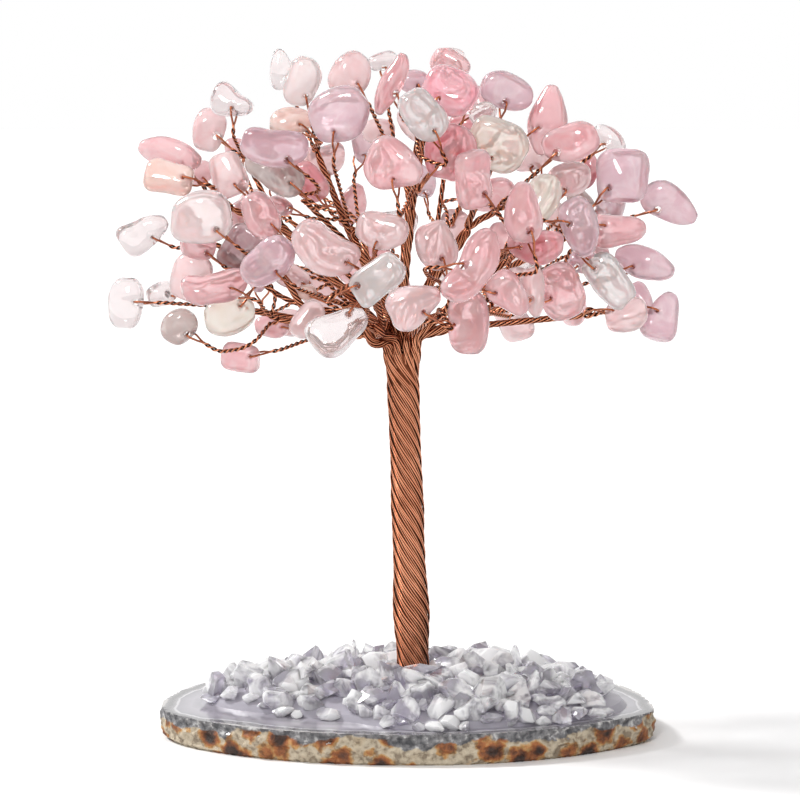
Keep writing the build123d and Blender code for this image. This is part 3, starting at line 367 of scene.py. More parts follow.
def routes_of_limb(name):
    """Follow every pair of one limb from the trunk to its chip, through its limb and bough."""
    tubes = sorted(tubes_of(f"limb_{name}"), key=lambda tube: -tube[1])
    limb_line = resampled(starting_near(tubes[0][0], crown), limb_step)
    boughs = [resampled(starting_near(line, limb_line[-1]), limb_step) for line, _ in tubes[1:]]
    twig_tubes = tubes_of(f"twigs_{name}")
    pairs = [line for line, radius in twig_tubes if radius > thickest_wire]
    loops = [line for line, radius in twig_tubes if radius <= thickest_wire]
    print(name, "boughs", len(boughs), "twigs", len(pairs), "loops", len(loops))
    loop_feet = np.array([(loop[0] + loop[-1]) / 2 for loop in loops])
    bough_ends = np.array([bough[-1] for bough in boughs])
    outward = limb_line[0] - crown
    outward = unit(outward - trunk_way * (outward @ trunk_way))
    lead_places = np.arange(-layer_start, -limb_step / 2, limb_step)
    lead = limb_line[0] + np.outer(lead_places, trunk_way)
    routes = []
    for pair in pairs:
        end_gaps = [np.linalg.norm(bough_ends - end, axis=1) for end in (pair[0], pair[-1])]
        bough = int(np.argmin(np.minimum(*end_gaps)))
        pair = resampled(starting_near(pair, bough_ends[bough]), twig_step)
        loop_gaps = np.linalg.norm(loop_feet - pair[-1], axis=1)
        loop = loops[int(np.argmin(loop_gaps))]
        parts = [lead, limb_line, boughs[bough], pair]
        line = softened(np.vstack(parts))
        marks = np.cumsum([len(part) for part in parts])
        runs = np.linalg.norm(np.diff(line, axis=0), axis=1)
        places = np.concatenate([[0], np.cumsum(runs)]) - runs[:marks[0]].sum()
        pitches = np.concatenate([
            np.full(marks[1], limb_pitch), np.full(marks[2] - marks[1], bough_pitch),
            np.full(marks[3] - marks[2], twig_pitch),
        ])
        turns = -np.concatenate([[0], np.cumsum(math.tau * runs / pitches[1:])])
        turns = turns - turns[marks[0]]
        sides, ups = frames_along(line, outward)
        routes.append({
            "line": line, "marks": marks, "places": places, "turns": turns, "sides": sides, "ups": ups,
            "bough": bough, "loop": loop,
        })
    return routes


def leaving_angle(route, mark):
    """The side to which a route leaves a bundle at one of its partings."""
    here = route["marks"][mark] - 1
    ahead = min(here + points_ahead, len(route["line"]) - 1)
    offset = route["line"][ahead] - route["line"][max(here - points_behind, 0)]
    return math.atan2(offset @ route["ups"][here], offset @ route["sides"][here])


def lay_wires(name, outer):
    """Turn the routes of one limb into the lines of its wires."""
    routes = routes_of_limb(name)
    limb_targets = np.repeat([
        (leaving_angle(route, 1) + side_by_side * route["bough"]) % math.tau for route in routes
    ], 2)
    end_turn = routes[0]["turns"][routes[0]["marks"][1] - 1]
    limb_seats = shared_out(bundle_places(2 * len(routes)), end_turn, limb_targets)
    bough_seats = np.zeros_like(limb_seats)
    for bough in {route["bough"] for route in routes}:
        members = [k for k, route in enumerate(routes) if route["bough"] == bough]
        wires = [2 * k + half for k in members for half in (0, 1)]
        targets = np.repeat([leaving_angle(routes[k], 2) % math.tau for k in members], 2)
        turn = routes[members[0]]["turns"][routes[members[0]]["marks"][2] - 1]
        bough_seats[wires] = shared_out(bundle_places(len(wires)), turn, targets)
    in_layer = {}
    if outer:
        front = np.argsort(-limb_seats[:, 0])[:wires_shown_per_limb]
        limb_angle = angle_about_trunk(routes[0]["line"][routes[0]["marks"][0]])
        strand_gap = ridge_spread * math.tau / outer_limb_count / wires_shown_per_limb
        for rank, wire in enumerate(sorted(front, key=lambda k: limb_seats[k, 1])):
            spread = (rank - (wires_shown_per_limb - 1) / 2) * strand_gap
            rise = ridge_heights[rank] + dice.uniform(-ridge_rise_spread, ridge_rise_spread)
            sway = math.radians(dice.uniform(-ridge_turn_degrees, ridge_turn_degrees))
            in_layer[int(wire)] = (limb_angle + spread + sway, rise)
    limb_lines[name] = []
    twig_lines[name] = []
    for k, route in enumerate(routes):
        line, places, turns = route["line"], route["places"], route["turns"]
        start, limb_end, bough_end = route["marks"][:3]
        leg = (route["loop"][0] - route["loop"][-1]) / 2
        leg_angle = math.atan2(leg @ route["ups"][-1], leg @ route["sides"][-1]) - turns[-1]
        bough_weight = eased((places - places[limb_end]) / (2 * parting_reach) + 0.5)[:, None]
        twig_weight = eased((places - places[bough_end]) / (2 * parting_reach) + 0.5)[:, None]
        halves = []
        for half, sign in ((0, 1), (1, -1)):
            wire = 2 * k + half
            pair_seat = sign * pair_radius * np.array([math.cos(leg_angle), math.sin(leg_angle)])
            parted_seat = bough_seats[wire] * (1 - twig_weight) + pair_seat * twig_weight
            seats = rotated(limb_seats[wire] * (1 - bough_weight) + parted_seat * bough_weight, turns)
            points = line + route["sides"] * seats[:, :1] + route["ups"] * seats[:, 1:]
            axis = trunk_foot + np.outer((points - trunk_foot) @ trunk_way, trunk_way)
            if wire in in_layer:
                layer = trunk_strand(*in_layer[wire], trunk_length + places)
                weight = eased((places + layer_start) / (layer_start + layer_end))[:, None]
                points = layer * (1 - weight) + points * weight
                middles = axis * (1 - weight) + line * weight
                lengths = np.arange(0, trunk_length - layer_start - trunk_step / 2, trunk_step)
                below = trunk_strand(*in_layer[wire], lengths)
                below_middles = trunk_foot + np.outer(lengths, trunk_way)
                trunk_lines.append((
                    np.vstack([below, points[:start + 1]]),
                    np.vstack([below_middles, middles[:start + 1]])))
            else:
                weight = hidden_share + (1 - hidden_share) * eased(places / layer_start + 1)[:, None]
                points = axis * (1 - weight) + points * weight
                middles = axis * (1 - weight) + line * weight
                trunk_lines.append((points[:start + 1], middles[:start + 1]))
            limb_lines[name].append((points[start:bough_end + 1], middles[start:bough_end + 1]))
            halves.append((points[bough_end:], middles[bough_end:]))
        loop = route["loop"][1:-1]
        twig_lines[name].append(tuple(
            np.vstack([there, loop, back_again[::-1]]) for there, back_again in zip(*halves)))


limb_names = [node.removeprefix("limb_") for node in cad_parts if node.startswith("limb_")]
outer_limb_count = sum(not name.startswith("high_") for name in limb_names)
for name in limb_names:
    lay_wires(name, not name.startswith("high_"))
print("wires", len(trunk_lines), "twigs", sum(len(lines) for lines in twig_lines.values()))

# %% [markdown]
# Bright copper wire is a metal with a soft, slightly uneven polish from being handled. A metal has no
# colour of its own under the reflection, so the base colour is all it has. That base colour carries painted
# light: a painted highlight where a wire faces out of its bundle and painted shade where it faces the next
# wires, and each wire mesh keeps that as "outward". The first few helpers below make the nodes that every
# finish of this tree is built from.

# %% Copper


def new_material(name):
    """A new material with its nodes, its links and its shader."""
    material = bpy.data.materials.new(name)
    material.use_nodes = True
    nodes = material.node_tree.nodes
    return material, nodes, material.node_tree.links, nodes["Principled BSDF"]


def set_finish(shader, values):
    """Set what is the same all over a surface on the shader's own sockets."""
    for socket, value in values.items():
        shader.inputs[socket].default_value = value


def attribute(nodes, name):
    """A value or colour that the mesh keeps at each of its points."""
    made = nodes.new("ShaderNodeAttribute")
    made.attribute_name = name
    return made.outputs


def pattern(nodes, links, kind, scale, **values):
    """A procedural texture on Object coordinates. Scale is in patterns per metre."""
    place = nodes.new("ShaderNodeTexCoord")
    texture = nodes.new(kind)
    texture.inputs["Scale"].default_value = scale
    for socket, value in values.items():
        texture.inputs[socket.replace("_", " ").title()].default_value = value
    links.new(place.outputs["Object"], texture.inputs["Vector"])
    return texture


def ramp(nodes, links, source, stops):
    """Colours along a value: each stop is a place from 0 to 1 and a colour."""
    made = nodes.new("ShaderNodeValToRGB")
    for index, (place, colour) in enumerate(stops):
        stop = made.color_ramp.elements[index] if index < 2 else made.color_ramp.elements.new(place)
        stop.position = place
        stop.color = (*colour, 1)
    links.new(source, made.inputs["Fac"])
    return made.outputs["Color"]


def mixed(nodes, links, share, first, second, blend_type="MIX"):
    """Two colours in one. A colour or share that is the same all over is a plain value."""
    made = nodes.new("ShaderNodeMix")
    made.data_type = "RGBA"
    made.blend_type = blend_type
    for socket, source in (("Factor", share), ("A", first), ("B", second)):
        if isinstance(source, bpy.types.NodeSocket):
            links.new(source, made.inputs[socket])
        else:
            made.inputs[socket].default_value = source
    return made.outputs["Result"]


def math_node(nodes, links, operation, *sources):
    """One sum of values, each of which is a socket or a plain number."""
    made = nodes.new("ShaderNodeMath")
    made.operation = operation
    for place, source in enumerate(sources):
        if isinstance(source, bpy.types.NodeSocket):
            links.new(source, made.inputs[place])
        else:
            made.inputs[place].default_value = source
    return made


def bump(nodes, links, source, strength, distance, shader):
    """Small relief on a surface from a value."""
    made = nodes.new("ShaderNodeBump")
    made.inputs["Strength"].default_value = strength
    made.inputs["Distance"].default_value = distance
    links.new(source, made.inputs["Height"])
    links.new(made.outputs["Normal"], shader.inputs["Normal"])


def copper_material():
    """Bright wire, with painted shade in the grooves between wires and a painted highlight on each wire's
    outer face.
    """
    material, nodes, links, shader = new_material("bright_copper")
    # Painted shade and painted highlight: dark where a wire faces the next wires, bright on its outer face.
    grooves = ramp(nodes, links, attribute(nodes, "outward")["Fac"], [
        (0.46, (0.03, 0.006, 0.002)), (0.68, (0.13, 0.035, 0.015)), (0.84, (0.42, 0.14, 0.07)),
        (0.97, (0.74, 0.33, 0.19))])
    patches = pattern(nodes, links, "ShaderNodeTexNoise", 150, detail=2)
    patchy = ramp(nodes, links, patches.outputs["Fac"], [(0.3, (0.68, 0.58, 0.54)), (0.62, (1.0, 1.0, 1.0))])
    links.new(mixed(nodes, links, 1, grooves, patchy, "MULTIPLY"), shader.inputs["Base Color"])
    set_finish(shader, {"Roughness": 0.22, "Metallic": 1})
    return material


def shaded_copper_material():
    """The wires inside the trunk: the same copper, duller and darker with painted shade."""
    material, nodes, links, shader = new_material("inner_copper_painted_shade")
    patches = pattern(nodes, links, "ShaderNodeTexNoise", 900, detail=2)
    # Painted shade: these colours are the copper darkened as if in the trunk's shade.
    colours = ramp(nodes, links, patches.outputs["Fac"], [
        (0.3, (0.10, 0.03, 0.012)), (0.7, (0.20, 0.06, 0.03))])
    links.new(colours, shader.inputs["Base Color"])
    set_finish(shader, {"Metallic": 1, "Roughness": 0.5})
    return material


copper = copper_material()
shaded_copper = shaded_copper_material()

# %% [markdown]
# A wire is a round curve along its line. All the wires of one node go into one curve object, which is
# then turned into a mesh. How far a point faces out of its bundle is measured from the bundle's middle, and
# sets the copper's painted shade and highlight.
# A finished piece then gets its materials and rides on a body, and it stands for the node that it hides.

# %% Make the wires
bundle_painted_shade = 0.5
pair_painted_shade = 0.36
pair_reach = 1.2 * pair_radius
single_reach = 0.01 * mm
single_shade = 0.85
cap_shade = 0.5
round_sides = 8
bundled_sides = 6


def points_of(piece):
    """All the points of a piece, one row each."""
    points = np.empty(3 * len(piece.data.vertices))
    piece.data.vertices.foreach_get("co", points)
    return points.reshape(-1, 3)


def wires(name, lines, sides=round_sides):
    """A mesh of round wires along lines, which keeps how far each point faces out of its bundle, for the
    copper's painted shade and highlight.
    """
    curve = bpy.data.curves.new(name, "CURVE")
    curve.dimensions = "3D"
    curve.bevel_depth = wire_radius
    curve.bevel_resolution = (sides - 4) // 2
    curve.use_fill_caps = True
    for line, _ in lines:
        spline = curve.splines.new("POLY")
        spline.points.add(len(line) - 1)
        spline.points.foreach_set("co", np.column_stack([line, np.ones(len(line))]).ravel())
    piece = bpy.data.objects.new(name, curve)
    scene.collection.objects.link(piece)
    select_only(piece)
    bpy.ops.object.convert(target="MESH")
    bpy.ops.object.shade_smooth()
    centres = np.repeat(np.vstack([line for line, _ in lines]), sides, axis=0)
    middles = np.repeat(np.vstack([middle for _, middle in lines]), sides, axis=0)
    points = points_of(piece)
    # The outward value is painted light: low values give painted shade between wires, high values a painted
    # highlight, and caps a middle shade.
    across = (points[-len(centres):] - centres) / wire_radius
    reaches = np.linalg.norm(centres - middles, axis=1)
    facing = np.sum(across * (centres - middles), axis=1) / np.maximum(reaches, single_reach)
    painted_shade_depths = np.where(reaches < pair_reach, pair_painted_shade, bundle_painted_shade)
    shades = np.where(reaches > single_reach, 1 - painted_shade_depths + painted_shade_depths * facing, single_shade)
    shares = np.full(len(points), cap_shade)
    shares[-len(centres):] = shades
    outward = piece.data.attributes.new("outward", "FLOAT", "POINT")
    outward.data.foreach_set("value", shares)
    return piece


def finish_piece(piece, body, materials, nodes):
    """Give a finished piece its materials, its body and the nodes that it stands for."""
    for material in materials:
        piece.data.materials.append(material)
    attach(piece, body)
    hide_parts(*nodes)
    print(piece.name, "points", len(piece.data.vertices))


tree_body = "tree"
finish_piece(wires("trunk_strands", trunk_lines), tree_body, [copper], ["trunk_wires"])
for name in limb_names:
    bundle = wires(f"bundle_{name}", limb_lines[name], bundled_sides)
    finish_piece(bundle, tree_body, [copper], [f"limb_{name}"])
    twigs = wires(f"twisted_twigs_{name}", twig_lines[name])
    finish_piece(twigs, tree_body, [copper], [f"twigs_{name}"])
for node in ("trunk_core", "root_wires"):
    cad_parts[node].data.materials.clear()
    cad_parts[node].data.materials.append(shaded_copper if node == "trunk_core" else copper)

# %% [markdown]
# Each chip has its own tint, from clear and milky white to rose, mauve and smoky brown. A letter stands for
# a tint, and each node has a word with one letter for each of its chips. The stone is milky and lets light
# in, with deeper clouds and paler veils inside. The mesh keeps the tint as an attribute, so that one
# material serves all the chips, and the clear ones have a glassier copy of it.

# %% Tints of the chips
tints = {
    "p": (0.92, 0.56, 0.58), "l": (0.96, 0.72, 0.72), "d": (0.86, 0.34, 0.38), "m": (0.78, 0.54, 0.60),
    "c": (0.86, 0.80, 0.80), "w": (0.95, 0.84, 0.83), "g": (0.82, 0.78, 0.77), "s": (0.58, 0.47, 0.44),
    "y": (0.92, 0.85, 0.76), "h": (0.96, 0.46, 0.53), "k": (0.52, 0.34, 0.36), "o": (0.93, 0.68, 0.60),
}
clear_tints = "c"
chip_tints = {
    "chips_low_left": "cclyppl", "chips_left_front": "cpwpkmpl", "chips_left_back": "popllp",
    "chips_high_left": "cwomsmdp", "chips_high_front": "pdgph", "chips_high_back": "lclpcmpd",
    "chips_high_right": "mpcyppy", "chips_right_front": "pdmlsmp", "chips_low_right": "gmmmmpll",
    "chips_front_right": "lplpp", "chips_front_left": "lglclo", "chips_right_back": "plmcpld",
    "chips_back_right": "lpmpclpl", "chips_back_left": "plmpclplmpl",
    "left_loose_chip": "s", "lowest_loose_chip": "p", "upper_left_loose_chip": "c",
    "upper_right_loose_chip": "c", "right_loose_chip": "m", "lower_right_loose_chip": "l",
}


def chip_material(name, transmission, roughness):
    """Milky or clear quartz, tinted by the mesh's own attribute."""
    material, nodes, links, shader = new_material(name)
    clouds = pattern(nodes, links, "ShaderNodeTexNoise", 130, detail=3)
    cloud_share = ramp(nodes, links, clouds.outputs["Fac"], [(0.38, (0, 0, 0)), (0.75, (0.5,) * 3)])
    veils = pattern(nodes, links, "ShaderNodeTexNoise", 170, detail=3, distortion=0.8)
    veil_share = ramp(nodes, links, veils.outputs["Fac"], [
        (0.45, (0, 0, 0)), (0.58, (0.35,) * 3), (0.72, (0, 0, 0))])
    tint = attribute(nodes, "tint")["Color"]
    deepened = mixed(nodes, links, cloud_share, tint, (0.80, 0.62, 0.64, 1), "MULTIPLY")
    veiled = mixed(nodes, links, veil_share, deepened, (0.96, 0.90, 0.89, 1))
    links.new(veiled, shader.inputs["Base Color"])
    set_finish(shader, {
        "Transmission Weight": transmission, "Roughness": roughness, "IOR": 1.5,
        "Subsurface Weight": 0.5, "Subsurface Radius": (1.0, 0.6, 0.55), "Subsurface Scale": 2.5 * mm,
        "Coat Weight": 0.9, "Coat Roughness": 0.02})
    return material


milky_quartz = chip_material("milky_quartz", 0.64, 0.06)
clear_quartz = chip_material("clear_quartz", 0.86, 0.04)

# %% [markdown]
# Tumbled chips are worn round but keep uneven flats and hollows. Sculpting each by hand would take a day,
# so each packed chip is copied, remeshed into an even skin, softened, and pushed in and out by two cloudy
# textures, one for the hollows and one for the pits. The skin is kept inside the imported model's box.

# %% Shape the chips
chip_voxel = 0.36 * mm
chip_rounds = 4
hollow_depth = 1.2 * mm
pit_depth = 0.05 * mm
chip_mid_level = 0.46


def lookup(points):
    """A tree that finds the nearest of some points."""
    nearest = KDTree(len(points))
    for index, point in enumerate(points):
        nearest.insert(point, index)
    nearest.balance()
    return nearest


def displace(piece, texture, strength, mid_level):
    """A modifier that pushes a piece's skin in and out by a texture."""
    relief = piece.modifiers.new(texture.name, "DISPLACE")
    relief.texture = texture
    relief.texture_coords = "GLOBAL"
    relief.strength = strength
    relief.mid_level = mid_level
    return relief


def remesh(piece, voxel_size):
    """A modifier that gives a piece one even skin."""
    skin = piece.modifiers.new("skin", "REMESH")
    skin.mode = "VOXEL"
    skin.voxel_size = voxel_size


def cloud_texture(name, size, depth=1):
    """A soft noise that a Displace modifier reads."""
    texture = bpy.data.textures.new(name, "CLOUDS")
    texture.noise_scale = size
    texture.noise_depth = depth
    return texture


hollows = cloud_texture("hollows", 6.0 * mm, 0)
pits = cloud_texture("pits", 1.3 * mm)


def shape_chips(node):
    """A softened copy of one node's chips, with a tint for each."""
    piece = merged_copy(node, node.replace("chips_", "quartz_").replace("_chip", "_quartz"))
    shape = bmesh.new()
    shape.from_mesh(piece.data)
    groups = solids_of(shape)
    points = [vert.co.copy() for group in groups for vert in group]
    numbers = [number for number, group in enumerate(groups) for _ in group]
    shape.free()
    nearest = lookup(points)
    remesh(piece, chip_voxel)
    soften = piece.modifiers.new("tumbled", "SMOOTH")
    soften.factor = 0.5
    soften.iterations = chip_rounds
    displace(piece, hollows, hollow_depth, chip_mid_level)
    displace(piece, pits, pit_depth, chip_mid_level)
    apply_modifiers(piece)
    bpy.ops.object.shade_smooth()
    inside = np.clip(points_of(piece), np.array(cad_box[0]), np.array(cad_box[1]))
    piece.data.vertices.foreach_set("co", inside.ravel())
    piece.data.update()
    letters = chip_tints[node]
    print(node, "chips", len(groups), "tints", len(letters))
    owners = [numbers[nearest.find(vert.co)[1]] for vert in piece.data.vertices]
    colours = np.array([(*tints[letters[number % len(letters)]], 1) for number in owners])
    tint = piece.data.attributes.new("tint", "FLOAT_COLOR", "POINT")
    tint.data.foreach_set("color", colours.ravel())
    body = node if node.endswith("_chip") else tree_body
    finish_piece(piece, body, [milky_quartz, clear_quartz], [node])
    for face in piece.data.polygons:
        face.material_index = int(letters[owners[face.vertices[0]] % len(letters)] in clear_tints)


for node in chip_tints:
    shape_chips(node)

# %% [markdown]
# The gravel is crushed clear quartz, glassy in places and hazy in others, with a cold lilac cast. The haze
# is one noise that sets the colour, how much light goes through, and a low relief on the breaks.

# %% Finish of the gravel


def clear_gravel_material():
    """Crushed quartz, part glassy and part hazy."""
    material, nodes, links, shader = new_material("crushed_clear_quartz")
    haze = pattern(nodes, links, "ShaderNodeTexNoise", 200, detail=3, distortion=0.6)
    colours = ramp(nodes, links, haze.outputs["Fac"], [
        (0.34, (0.82, 0.77, 0.93)), (0.48, (0.95, 0.91, 1.0)), (0.58, (1.0, 0.99, 1.0))])
    links.new(colours, shader.inputs["Base Color"])
    cloudy = ramp(nodes, links, haze.outputs["Fac"], [(0.42, (0.84,) * 3), (0.57, (0.22,) * 3)])
    links.new(cloudy, shader.inputs["Transmission Weight"])
    set_finish(shader, {
        "Subsurface Weight": 1.0, "Subsurface Radius": (1, 1, 1), "Subsurface Scale": 3 * mm,
        "Coat Weight": 1.0, "Coat Roughness": 0.02, "Roughness": 0.05, "IOR": 1.5})
    bump(nodes, links, haze.outputs["Fac"], 0.35, 0.5 * mm, shader)
    return material


crushed_quartz = clear_gravel_material()

# %% [markdown]
# Crushed stones have flat breaks and sharp edges. A few of them are modelled once: a ball is cut by flat
# planes, each cut is closed and the edges are broken. Broken edges can throw a spike out of a thin corner,
# so every point is brought back behind the cuts, and each stone ends up one unit wide in each direction.

# %% Crushed stones
shard_kinds = 12
shard_cuts = 8
ball_radius = 0.62
cut_reach = (0.17, 0.46)
broken_width = 0.03
nearly_flat = math.radians(4)


def shard(number):
    """The mesh of one crushed stone, one unit wide: a ball with flat cuts."""
    chance = random.Random(100 + number)
    bpy.ops.object.select_all(action="DESELECT")
    bpy.ops.mesh.primitive_ico_sphere_add(subdivisions=2, radius=ball_radius, location=(0, 0, 0))
    piece = bpy.context.object
    bpy.ops.object.mode_set(mode="EDIT")
    cuts = []
    for _ in range(shard_cuts):
        way = Vector([chance.gauss(0, 1) for _ in range(3)]).normalized()
        reach = chance.uniform(*cut_reach)
        cuts.append((way, reach))
        bpy.ops.mesh.select_all(action="SELECT")
        bpy.ops.mesh.bisect(plane_co=way * reach, plane_no=way, use_fill=True, clear_outer=True)
    bpy.ops.mesh.select_all(action="SELECT")
    bpy.ops.mesh.dissolve_limited(angle_limit=nearly_flat)
    bpy.ops.object.mode_set(mode="OBJECT")
    broken = piece.modifiers.new("broken_edges", "BEVEL")
    broken.width = broken_width
    broken.segments = 1
    apply_modifiers(piece)
    mesh = piece.data
    for way, reach in cuts:
        for vert in mesh.vertices:
            vert.co -= way * max(0, vert.co.dot(way) - reach)
    points = points_of(piece)
    low, high = points.min(axis=0), points.max(axis=0)
    to_unit = Matrix.Diagonal((*(1 / (high - low)), 1))
    mesh.transform(to_unit @ Matrix.Translation(Vector(-(low + high) / 2)))
    bpy.data.objects.remove(piece)
    return mesh


shards = [shard(number) for number in range(shard_kinds)]
print("kinds of stone", len(shards), "faces", [len(mesh.polygons) for mesh in shards])

# %% [markdown]
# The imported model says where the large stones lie. Small ones fill the gaps between them and lie along the
# bed's edge, a few of them just past it. Places for these are tried at random, and a place is kept where
# the bed is under it and the next stone is neither too near nor too far.

# %% Places of the stones
stone_growth = 1.42
filler_try_count = 4000
filler_gap = (2.2 * mm, 14 * mm)
filler_width = (2.6 * mm, 5.8 * mm)
filler_shape = np.array([1.25, 1.0, 0.85])
filler_margin = 12 * mm
filler_right_margin = 1.5 * mm
filler_overlap = 0.8
filler_rise = 0.3
trunk_clearance = 5.5 * mm
spill = 1.5 * mm
sky_height = 0.1
down = Vector((0, 0, -1))


def stones_of(node):
    """The middle and the size of each packed stone of a node."""
    shape = bmesh.new()
    shape.from_mesh(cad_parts[node].data)
    bmesh.ops.remove_doubles(shape, verts=shape.verts[:], dist=merge_gap)
    found = []
    for group in solids_of(shape):
        places = np.array([vert.co for vert in group])
        low, high = places.min(axis=0), places.max(axis=0)
        found.append(((low + high) / 2, high - low))
    shape.free()
    return found


def places_of_gravel(chance):
    """The middle and size of every stone, under the name of the node that it belongs to."""
    gravel_nodes = [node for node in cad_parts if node.startswith("gravel_")]
    stones = {node: stones_of(node) for node in gravel_nodes}
    middles = np.array([middle for found in stones.values() for middle, _ in found])
    homes = [node for node, found in stones.items() for _ in found]
    low, high = middles.min(axis=0), middles.max(axis=0)
    laid = {node: [(middle, size * stone_growth) for middle, size in found] for node, found in stones.items()}
    fillers = np.zeros((0, 3))
    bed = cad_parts["glue_bed"]
    slice_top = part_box("agate_slice")[1].z
    for _ in range(filler_try_count):
        x = chance.uniform(low[0] - filler_margin, high[0] + filler_right_margin)
        y = chance.uniform(low[1] - filler_margin, high[1] + filler_margin)
        width = chance.uniform(*filler_width)
        gaps = np.hypot(middles[:, 0] - x, middles[:, 1] - y)
        filler_gaps = np.hypot(fillers[:, 0] - x, fillers[:, 1] - y)
        crowded = filler_gaps.min(initial=math.inf) < filler_overlap * width
        if not filler_gap[0] < gaps.min() < filler_gap[1] or crowded:
            continue
        hit, place, _, _ = bed.ray_cast(Vector((x, y, sky_height)), down)
        inner = Vector((x, y, 0)) * (1 - spill / math.hypot(x, y))
        inner_hit = bed.ray_cast(Vector((inner.x, inner.y, sky_height)), down)[0]
        if not (hit or inner_hit) or math.hypot(x, y) < trunk_clearance:
            continue
        near = int(np.argmin(gaps))
        ground = place.z if hit else slice_top
        spot = np.array([x, y, min(ground, middles[near][2]) + width * filler_rise])
        fillers = np.vstack([fillers, spot])
        laid[homes[near]].append((spot, width * filler_shape))
    return laid


chance = random.Random(7)
gravel = places_of_gravel(chance)
print("stones", {node: len(found) for node, found in gravel.items()})

# %% [markdown]
# Each stone is a copy of one of the kinds, turned about, tipped, stretched a little and brought to its
# place and size. All the stones of one node are one mesh, so that the model stays easy to handle.

# %% Lay the gravel
tip_limit = 0.6
side_stretch = (0.85, 1.15)
height_stretch = (0.75, 1)


def lay_stones(node, found):
    """One mesh of crushed stones in place of a packed gravel node."""
    shape = bmesh.new()
    for middle, size in found:
        stone = chance.choice(shards).copy()
        turn = Matrix.Rotation(chance.uniform(0, math.tau), 4, "Z")
        tip = Matrix.Rotation(chance.uniform(-tip_limit, tip_limit), 4, "X")
        tip = tip @ Matrix.Rotation(chance.uniform(-tip_limit, tip_limit), 4, "Y")
        stretch = [chance.uniform(*limits) for limits in (side_stretch, side_stretch, height_stretch)]
        shaped = tip @ Matrix.Diagonal((*stretch, 1)) @ turn
        stone.transform(Matrix.Translation(Vector(middle)) @ Matrix.Diagonal((*size, 1)) @ shaped)
        shape.from_mesh(stone)
        bpy.data.meshes.remove(stone)
    mesh = bpy.data.meshes.new(node)
    shape.to_mesh(mesh)
    shape.free()
    piece = bpy.data.objects.new(f"crushed_{node}", mesh)
    scene.collection.objects.link(piece)
    finish_piece(piece, tree_body, [crushed_quartz], [node])


for node, found in gravel.items():
    lay_stones(node, found)

# %% [markdown]
# The adhesive is a clear resin that has run out thin round the stones. Over the dark agate it looks like a
# satin grey film. Its packed mound has the right shape already, so it only gets a finish.

# %% Adhesive


def resin_material():
    """Clear resin, grey from the stone below it."""
    material, nodes, links, shader = new_material("clear_resin")
    ripples = pattern(nodes, links, "ShaderNodeTexNoise", 300, detail=2)
    bump(nodes, links, ripples.outputs["Fac"], 0.4, 0.5 * mm, shader)
    set_finish(shader, {
        "Base Color": (0.40, 0.38, 0.43, 1), "Transmission Weight": 0.15, "Roughness": 0.35, "IOR": 1.45})
    return material


bed_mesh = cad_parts["glue_bed"].data
bed_mesh.materials.clear()
bed_mesh.materials.append(resin_material())

# %% [markdown]
# The slice is sawn from an agate nodule: flat and polished above, with the nodule's rough rind left round
# its edge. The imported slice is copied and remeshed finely, so that the rind can be pushed inwards by a
# rough texture while the sawn faces stay flat. How far each point lies from the rind is kept in the mesh,
# in millimetres, because the agate's bands follow its outline.

# %% Shape the agate slice
slice_voxel = 0.55 * mm
knob_size = 4.0 * mm
rind_depth = 2.2 * mm
grit_size = 1.4 * mm
grit_depth = 0.8 * mm
rind_mid_level = 0.85
rind_side = 0.25
rind_gain = 1.6
face_limit = 0.35 * mm
sharp_edge = math.radians(35)


def shape_slice():
    """The slice with a rough rind, and for each point its distance from the rind."""
    piece = merged_copy("agate_slice", "polished_slice")
    low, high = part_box("agate_slice")
    remesh(piece, slice_voxel)
    apply_modifiers(piece)
    mesh = piece.data
    rind = piece.vertex_groups.new(name="rind")
    rim = []
    for vert in mesh.vertices:
        side = 1 - abs(vert.normal.z)
        if side > rind_side:
            rim.append(Vector((vert.co.x, vert.co.y, 0)))
            rind.add([vert.index], min(1, side * rind_gain), "REPLACE")
    for name, size, depth in (("knobs", knob_size, rind_depth), ("grit", grit_size, grit_depth)):
        relief = displace(piece, cloud_texture(name, size), depth, rind_mid_level)
        relief.vertex_group = rind.name
    apply_modifiers(piece)
    nearest = lookup(rim)
    insets = []
    for vert in mesh.vertices:
        if vert.co.z > high.z - face_limit:
            vert.co.z = high.z
        if vert.co.z < low.z + face_limit:
            vert.co.z = low.z
        insets.append(nearest.find(Vector((vert.co.x, vert.co.y, 0)))[2] / mm)
    inset = mesh.attributes.new("inset", "FLOAT", "POINT")
    inset.data.foreach_set("value", insets)
    select_only(piece)
    bpy.ops.object.shade_smooth_by_angle(angle=sharp_edge)
    return piece


slice_piece = shape_slice()
print("slice points", len(slice_piece.data.vertices))

# %% [markdown]
# Polished agate is glassy and layered in greys. The distance from the rind, swayed by a noise, runs through
# a ramp of greys, with a thin pale band near the edge and softer bands further in.

# %% Polished agate
band_sway = 5.0
band_reach = (2.5, 16)


